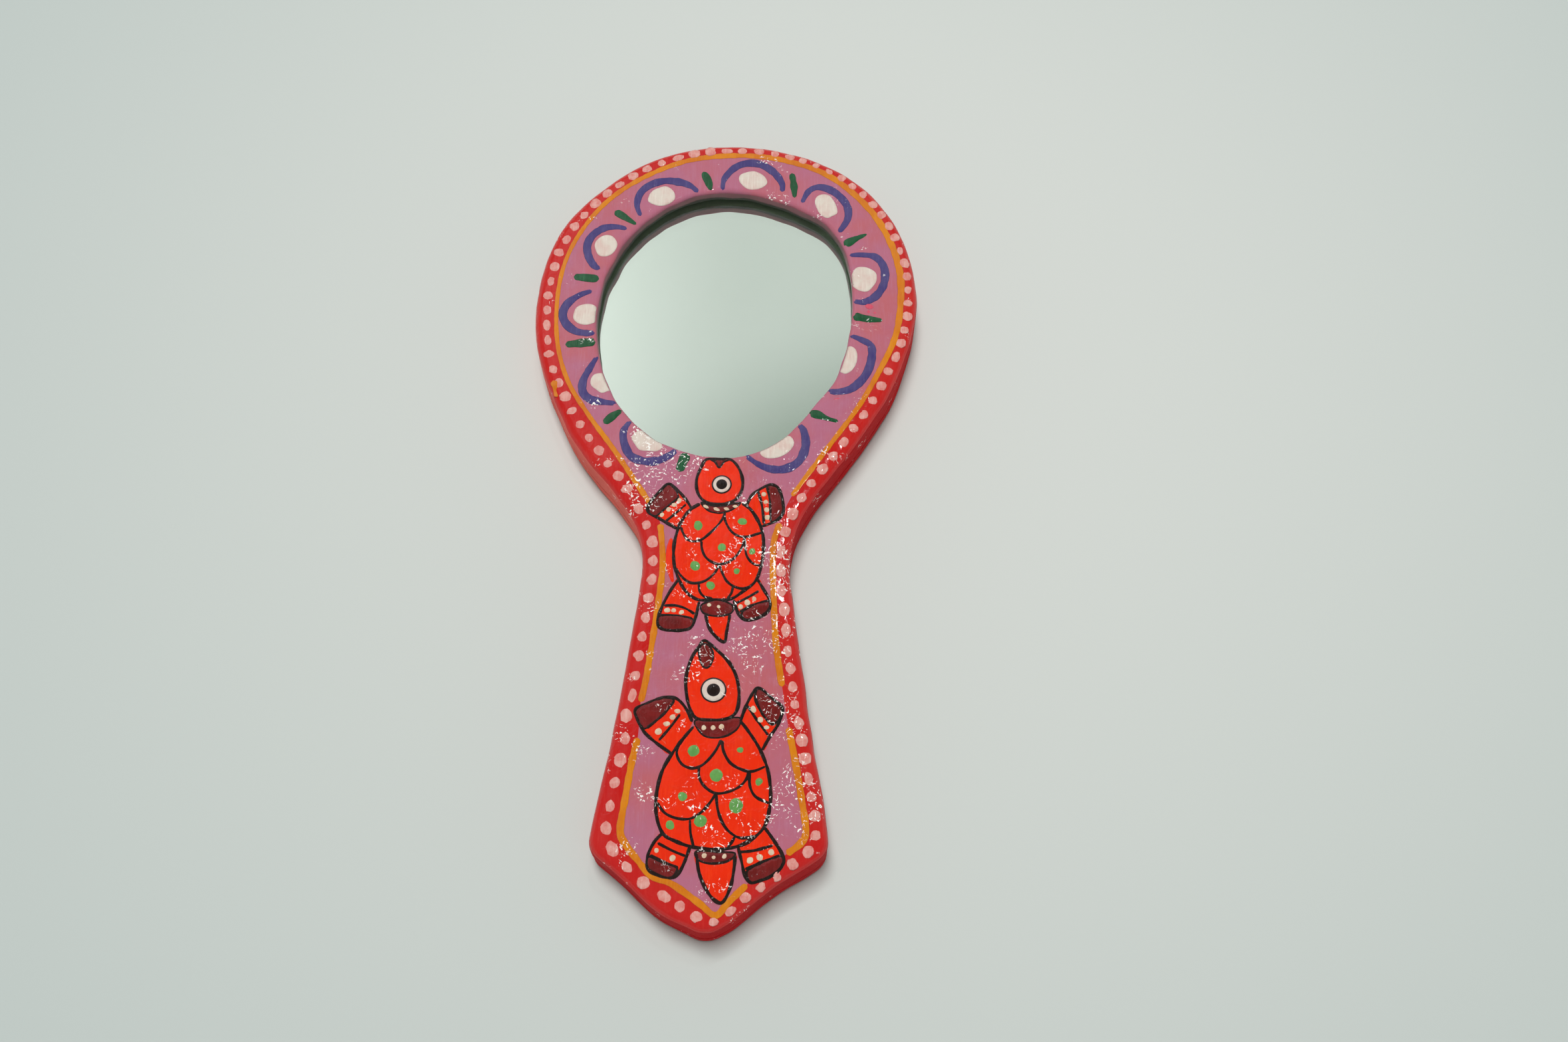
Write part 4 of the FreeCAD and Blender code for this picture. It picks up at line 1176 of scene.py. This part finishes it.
def paint_animal(name, drawing):
    """Red shapes, dark ends, black lines and the eye of one animal."""
    limbs, dark, whole = drawing["limbs"], drawing["dark"], drawing["whole"]
    head, shell = whole
    reds = [(shape, 0.0, RED_FILM + RED_STEP * k) for k, shape in enumerate(limbs + whole)]
    paint_patches(name + "_red", reds, flame_paint)
    paint_patches(name + "_dark_ends", [(shape, END_BELOW, END_FILM) for shape in dark], maroon_paint)
    lines = [(line, INNER_HALF) for line in drawing["lines"]] + [(limb, LIMB_HALF) for limb in limbs]
    lines.append((shell, BODY_HALF))
    rounds = [(head, BODY_HALF)] + [(shape, END_HALF) for shape in dark]
    paint_strokes(name + "_lines", lines, black_paint, rounds, step=0.35, flatness=0.05, lift=0.07,
                  ragged=0.35)
    x, y, radii = drawing["eye"]
    for radius, (part, below, paint) in zip(radii, EYE_PARTS):
        paint_patches(f"{name}_eye_{part}", [(disc(x, y, radius), below, EYE_FILM)], paint)


# %% Slips of the brush, the animals, and the dashes on a neck
RED_SLIP = (((-13, -11.5), (-13.4, -16), (-13.1, -20.5), (-12, -25)), (0.4, 0.9, 0.9, 0.4))
SMEARS = ((((42.2, 65.2), (43.6, 64.8), (44.8, 64.6)), (0.6, 1.0, 0.5)),
          (((43.2, 63.6), (43.4, 62.4)), (0.7, 0.4)),
          (((44.6, 62.8), (45.6, 62.6)), (0.3, 0.5)),
          (((32.8, 33.3), (34.9, 33.8)), (0.2, 0.4, 0.2)))
NECK_DASHES = (((-4.3, -1.3), (-2.7, -2.2)), ((-1.3, -2.1), (0.5, -2.9)), ((1.6, -2.1), (3.2, -2.6)),
               ((4.1, -1.5), (5.7, -1.6)))
DASH_HALVES = (0.5, 0.62, 0.4)
paint_strokes("red_slip", [RED_SLIP], flame_paint)
paint_strokes("red_smears", SMEARS, smear_paint)
paint_animal("upper_turtle", UPPER)
paint_animal("lower_turtle", LOWER)
paint_strokes("neck_dashes", [(dash, DASH_HALVES) for dash in NECK_DASHES], cream_paint, lift=OVER_DOTS)

# %% [markdown]
# ## Dots
# Dots are what the tip of the brush leaves, low domes that are never quite round. Geometry Nodes set
# one small dome again and again: on the border as ovals turned along the line that the painter followed,
# and singly on the animals, turned anyhow. Each dot has its own size. Both trees drop the dots on the
# board and tip them to its slope, because the border dots sit on the rounded edge.

# %% The dot trees
RANDOM = "FunctionNodeRandomValue"
FULL_TURN = 6.283
DOME_SIDES, DOME_RINGS = 14, 6
LUMP = 1.3      # how far apart the uneven places on a dot's rim are, mm


def dot_tree(name, along_line):
    """A tree that sets domes on the board at points, turned along the line through them or anyhow."""
    tree, given = open_tree(name, Board="Object", Stagger="Float", Height="Float", Lift="Float",
                            Uneven="Float", Ragged="Float", Seed="Int", Paint="Material")
    if along_line:
        points = add_node(tree, "GeometryNodeMeshToCurve", {"Mesh": given["Geometry"]})
        way = add_node(tree, SEPARATE, {0: add_node(tree, "GeometryNodeInputTangent")}).outputs
        spin = add_node(tree, MATH, {0: way["Y"], 1: way["X"]}, operation="ARCTAN2")
    else:
        points = add_node(tree, "GeometryNodeMeshToPoints", {"Mesh": given["Geometry"]})
        spin = add_node(tree, RANDOM, {"Max": FULL_TURN, "Seed": given["Seed"]}, data_type="FLOAT")
    back = add_node(tree, MATH, {0: given["Stagger"], 1: -1.0}, operation="MULTIPLY")
    stagger = add_node(tree, RANDOM, {"Min": back, "Max": given["Stagger"], "Seed": given["Seed"]},
                       data_type="FLOAT_VECTOR")
    shifted = add_node(tree, "GeometryNodeSetPosition", {"Geometry": points, "Offset": stagger})
    laid, slope = lay_on_board(tree, shifted, given["Board"], given["Lift"])
    turned = add_node(tree, "FunctionNodeAxisAngleToRotation", {"Axis": (0, 0, 1), "Angle": spin})
    tipped = add_node(tree, "FunctionNodeAlignRotationToVector", {"Rotation": turned, "Vector": slope},
                      axis="Z")
    least = add_node(tree, MATH, {0: 1.0, 1: given["Uneven"]}, operation="SUBTRACT")
    most = add_node(tree, MATH, {0: 1.0, 1: given["Uneven"]}, operation="ADD")
    sizes = add_node(tree, RANDOM, {"Min": least, "Max": most, "Seed": given["Seed"]},
                     data_type="FLOAT_VECTOR")
    parts = add_node(tree, SEPARATE, {0: sizes}).outputs
    halves = {"Z": given["Height"]}
    for axis, attribute in (("X", "half_along"), ("Y", "half_across")):
        half = add_node(tree, "GeometryNodeInputNamedAttribute", {"Name": attribute}, data_type="FLOAT")
        halves[axis] = add_node(tree, MATH, {0: half, 1: parts[axis]}, operation="MULTIPLY")
    size = add_node(tree, "ShaderNodeCombineXYZ", halves)
    dome = add_node(tree, "GeometryNodeMeshUVSphere", {"Segments": DOME_SIDES, "Rings": DOME_RINGS,
                                                      "Radius": 1.0})
    dots = add_node(tree, "GeometryNodeInstanceOnPoints", {"Points": laid, "Instance": dome,
                                                           "Rotation": tipped, "Scale": size})
    real = add_node(tree, "GeometryNodeRealizeInstances", {"Geometry": dots})
    lumps = add_node(tree, NOISE, {"Scale": every(LUMP), "Detail": 1.0}, normalize=False).outputs["Color"]
    sideways = add_node(tree, VECTOR_MATH, {0: lumps, 1: (1, 1, 0)}, operation="MULTIPLY")
    pull = add_node(tree, VECTOR_MATH, {0: sideways, "Scale": given["Ragged"]}, operation="SCALE")
    pulled = add_node(tree, "GeometryNodeSetPosition", {"Geometry": real, "Offset": pull})
    close_tree(tree, pulled, given["Paint"])
    return tree


border_tree = dot_tree("dots_along_a_line", True)
single_tree = dot_tree("single_dots", False)
print("dot trees of", len(border_tree.nodes), "and", len(single_tree.nodes), "nodes")

# %% The line that the border dots follow
# It runs about midway between the edge and the orange line or a foot. A dot is as wide as the border
# lets it be there, up to a limit. Lengths are in mm, and the rest are shares of the border's width.
DOT_INSET, DOT_MIDWAY = 0.35, 0.49
DOT_WIDEST, DOT_SHARE_LINE, DOT_SHARE_FOOT = 1.6, 0.31, 0.43
HEAD_END = -1       # the head's run of dots ends at this height on the neck, mm
limb_loops = [through(limb, 1.0) for limb in UPPER["limbs"] + LOWER["limbs"]]
to_paint = gap_to(cut_outline, np.vstack([ground_loop] + limb_loops))
to_line = gap_to(cut_outline, ground_loop)
dot_line = cut_outline - outward(cut_outline) * (DOT_INSET + DOT_MIDWAY * to_paint)[:, None]
half_across = np.minimum(np.minimum(DOT_WIDEST, DOT_SHARE_LINE * to_line), DOT_SHARE_FOOT * to_paint)
on_head = dot_line[:, 1] > HEAD_END
first_of_head = int(np.argmax(on_head & ~np.roll(on_head, 1)))
dot_line, half_across, on_head = (np.roll(values, -first_of_head, 0)
                                  for values in (dot_line, half_across, on_head))
print("the head has", on_head.sum(), "of the line's", len(dot_line), "points")

# %% Dots on the border
# The dots were set by eye, so they crowd together at the top and spread out at the foot. A mark is a
# dot's number and its place along the line, in mm.
DOT_MARKS = {
    "border_dots_head": ((0, 2.4), (10, 56.4), (20, 103.4), (30, 149), (40, 200.6), (50, 251.8), (63, 318)),
    "border_dots_handle": ((0, 1.6), (10, 58.4), (20, 120.4), (30, 171.2), (40, 223), (47, 264.6))}
DOT_LENGTH = 0.345  # a dot's half length, as a share of the way to the next
for name, part in (("border_dots_head", on_head), ("border_dots_handle", ~on_head)):
    line = dot_line[part]
    along = np.concatenate([[0], np.cumsum(np.linalg.norm(np.diff(line, axis=0), axis=1))])
    numbers, places = zip(*DOT_MARKS[name])
    at = np.interp(range(numbers[-1] + 1), numbers, places)
    spots = np.column_stack([np.interp(at, along, values) for values in line.T])
    halves = {"half_along": DOT_LENGTH * np.gradient(at),
              "half_across": np.interp(at, along, half_across[part])}
    run_tree(name, spots, [(i, i + 1) for i in range(len(spots) - 1)], halves, border_tree, Stagger=0.2 * MM,
             Height=0.2 * MM, Lift=-0.1 * MM, Uneven=0.22, Seed=3, Ragged=0.32 * MM, Paint=pink_paint)

# %% Dots on the animals
for name, kind, paint, height, swell in (("cream_dots", "cream", cream_paint, 0.24, 1.4),
                                         ("green_spots", "green", spot_paint, 0.23, 1.2)):
    spots = UPPER[kind] + LOWER[kind]
    halves = dict.fromkeys(("half_along", "half_across"), [swell * s[2] / 2 for s in spots])
    run_tree(name, [s[:2] for s in spots], [], halves, single_tree, Stagger=0.0, Height=height * MM,
             Lift=-0.06 * MM, Uneven=0.2, Seed=5, Ragged=0.16 * MM, Paint=paint)

# %% [markdown]
# ## The size
# Paint and a hand-cut edge may stand a little proud of the CAD model, but the object's size stays
# what CAD says. The visual box is printed.

# %% The visual box
low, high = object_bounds()
print("visual box in mm:", [round(v / MM, 1) for v in high - low])
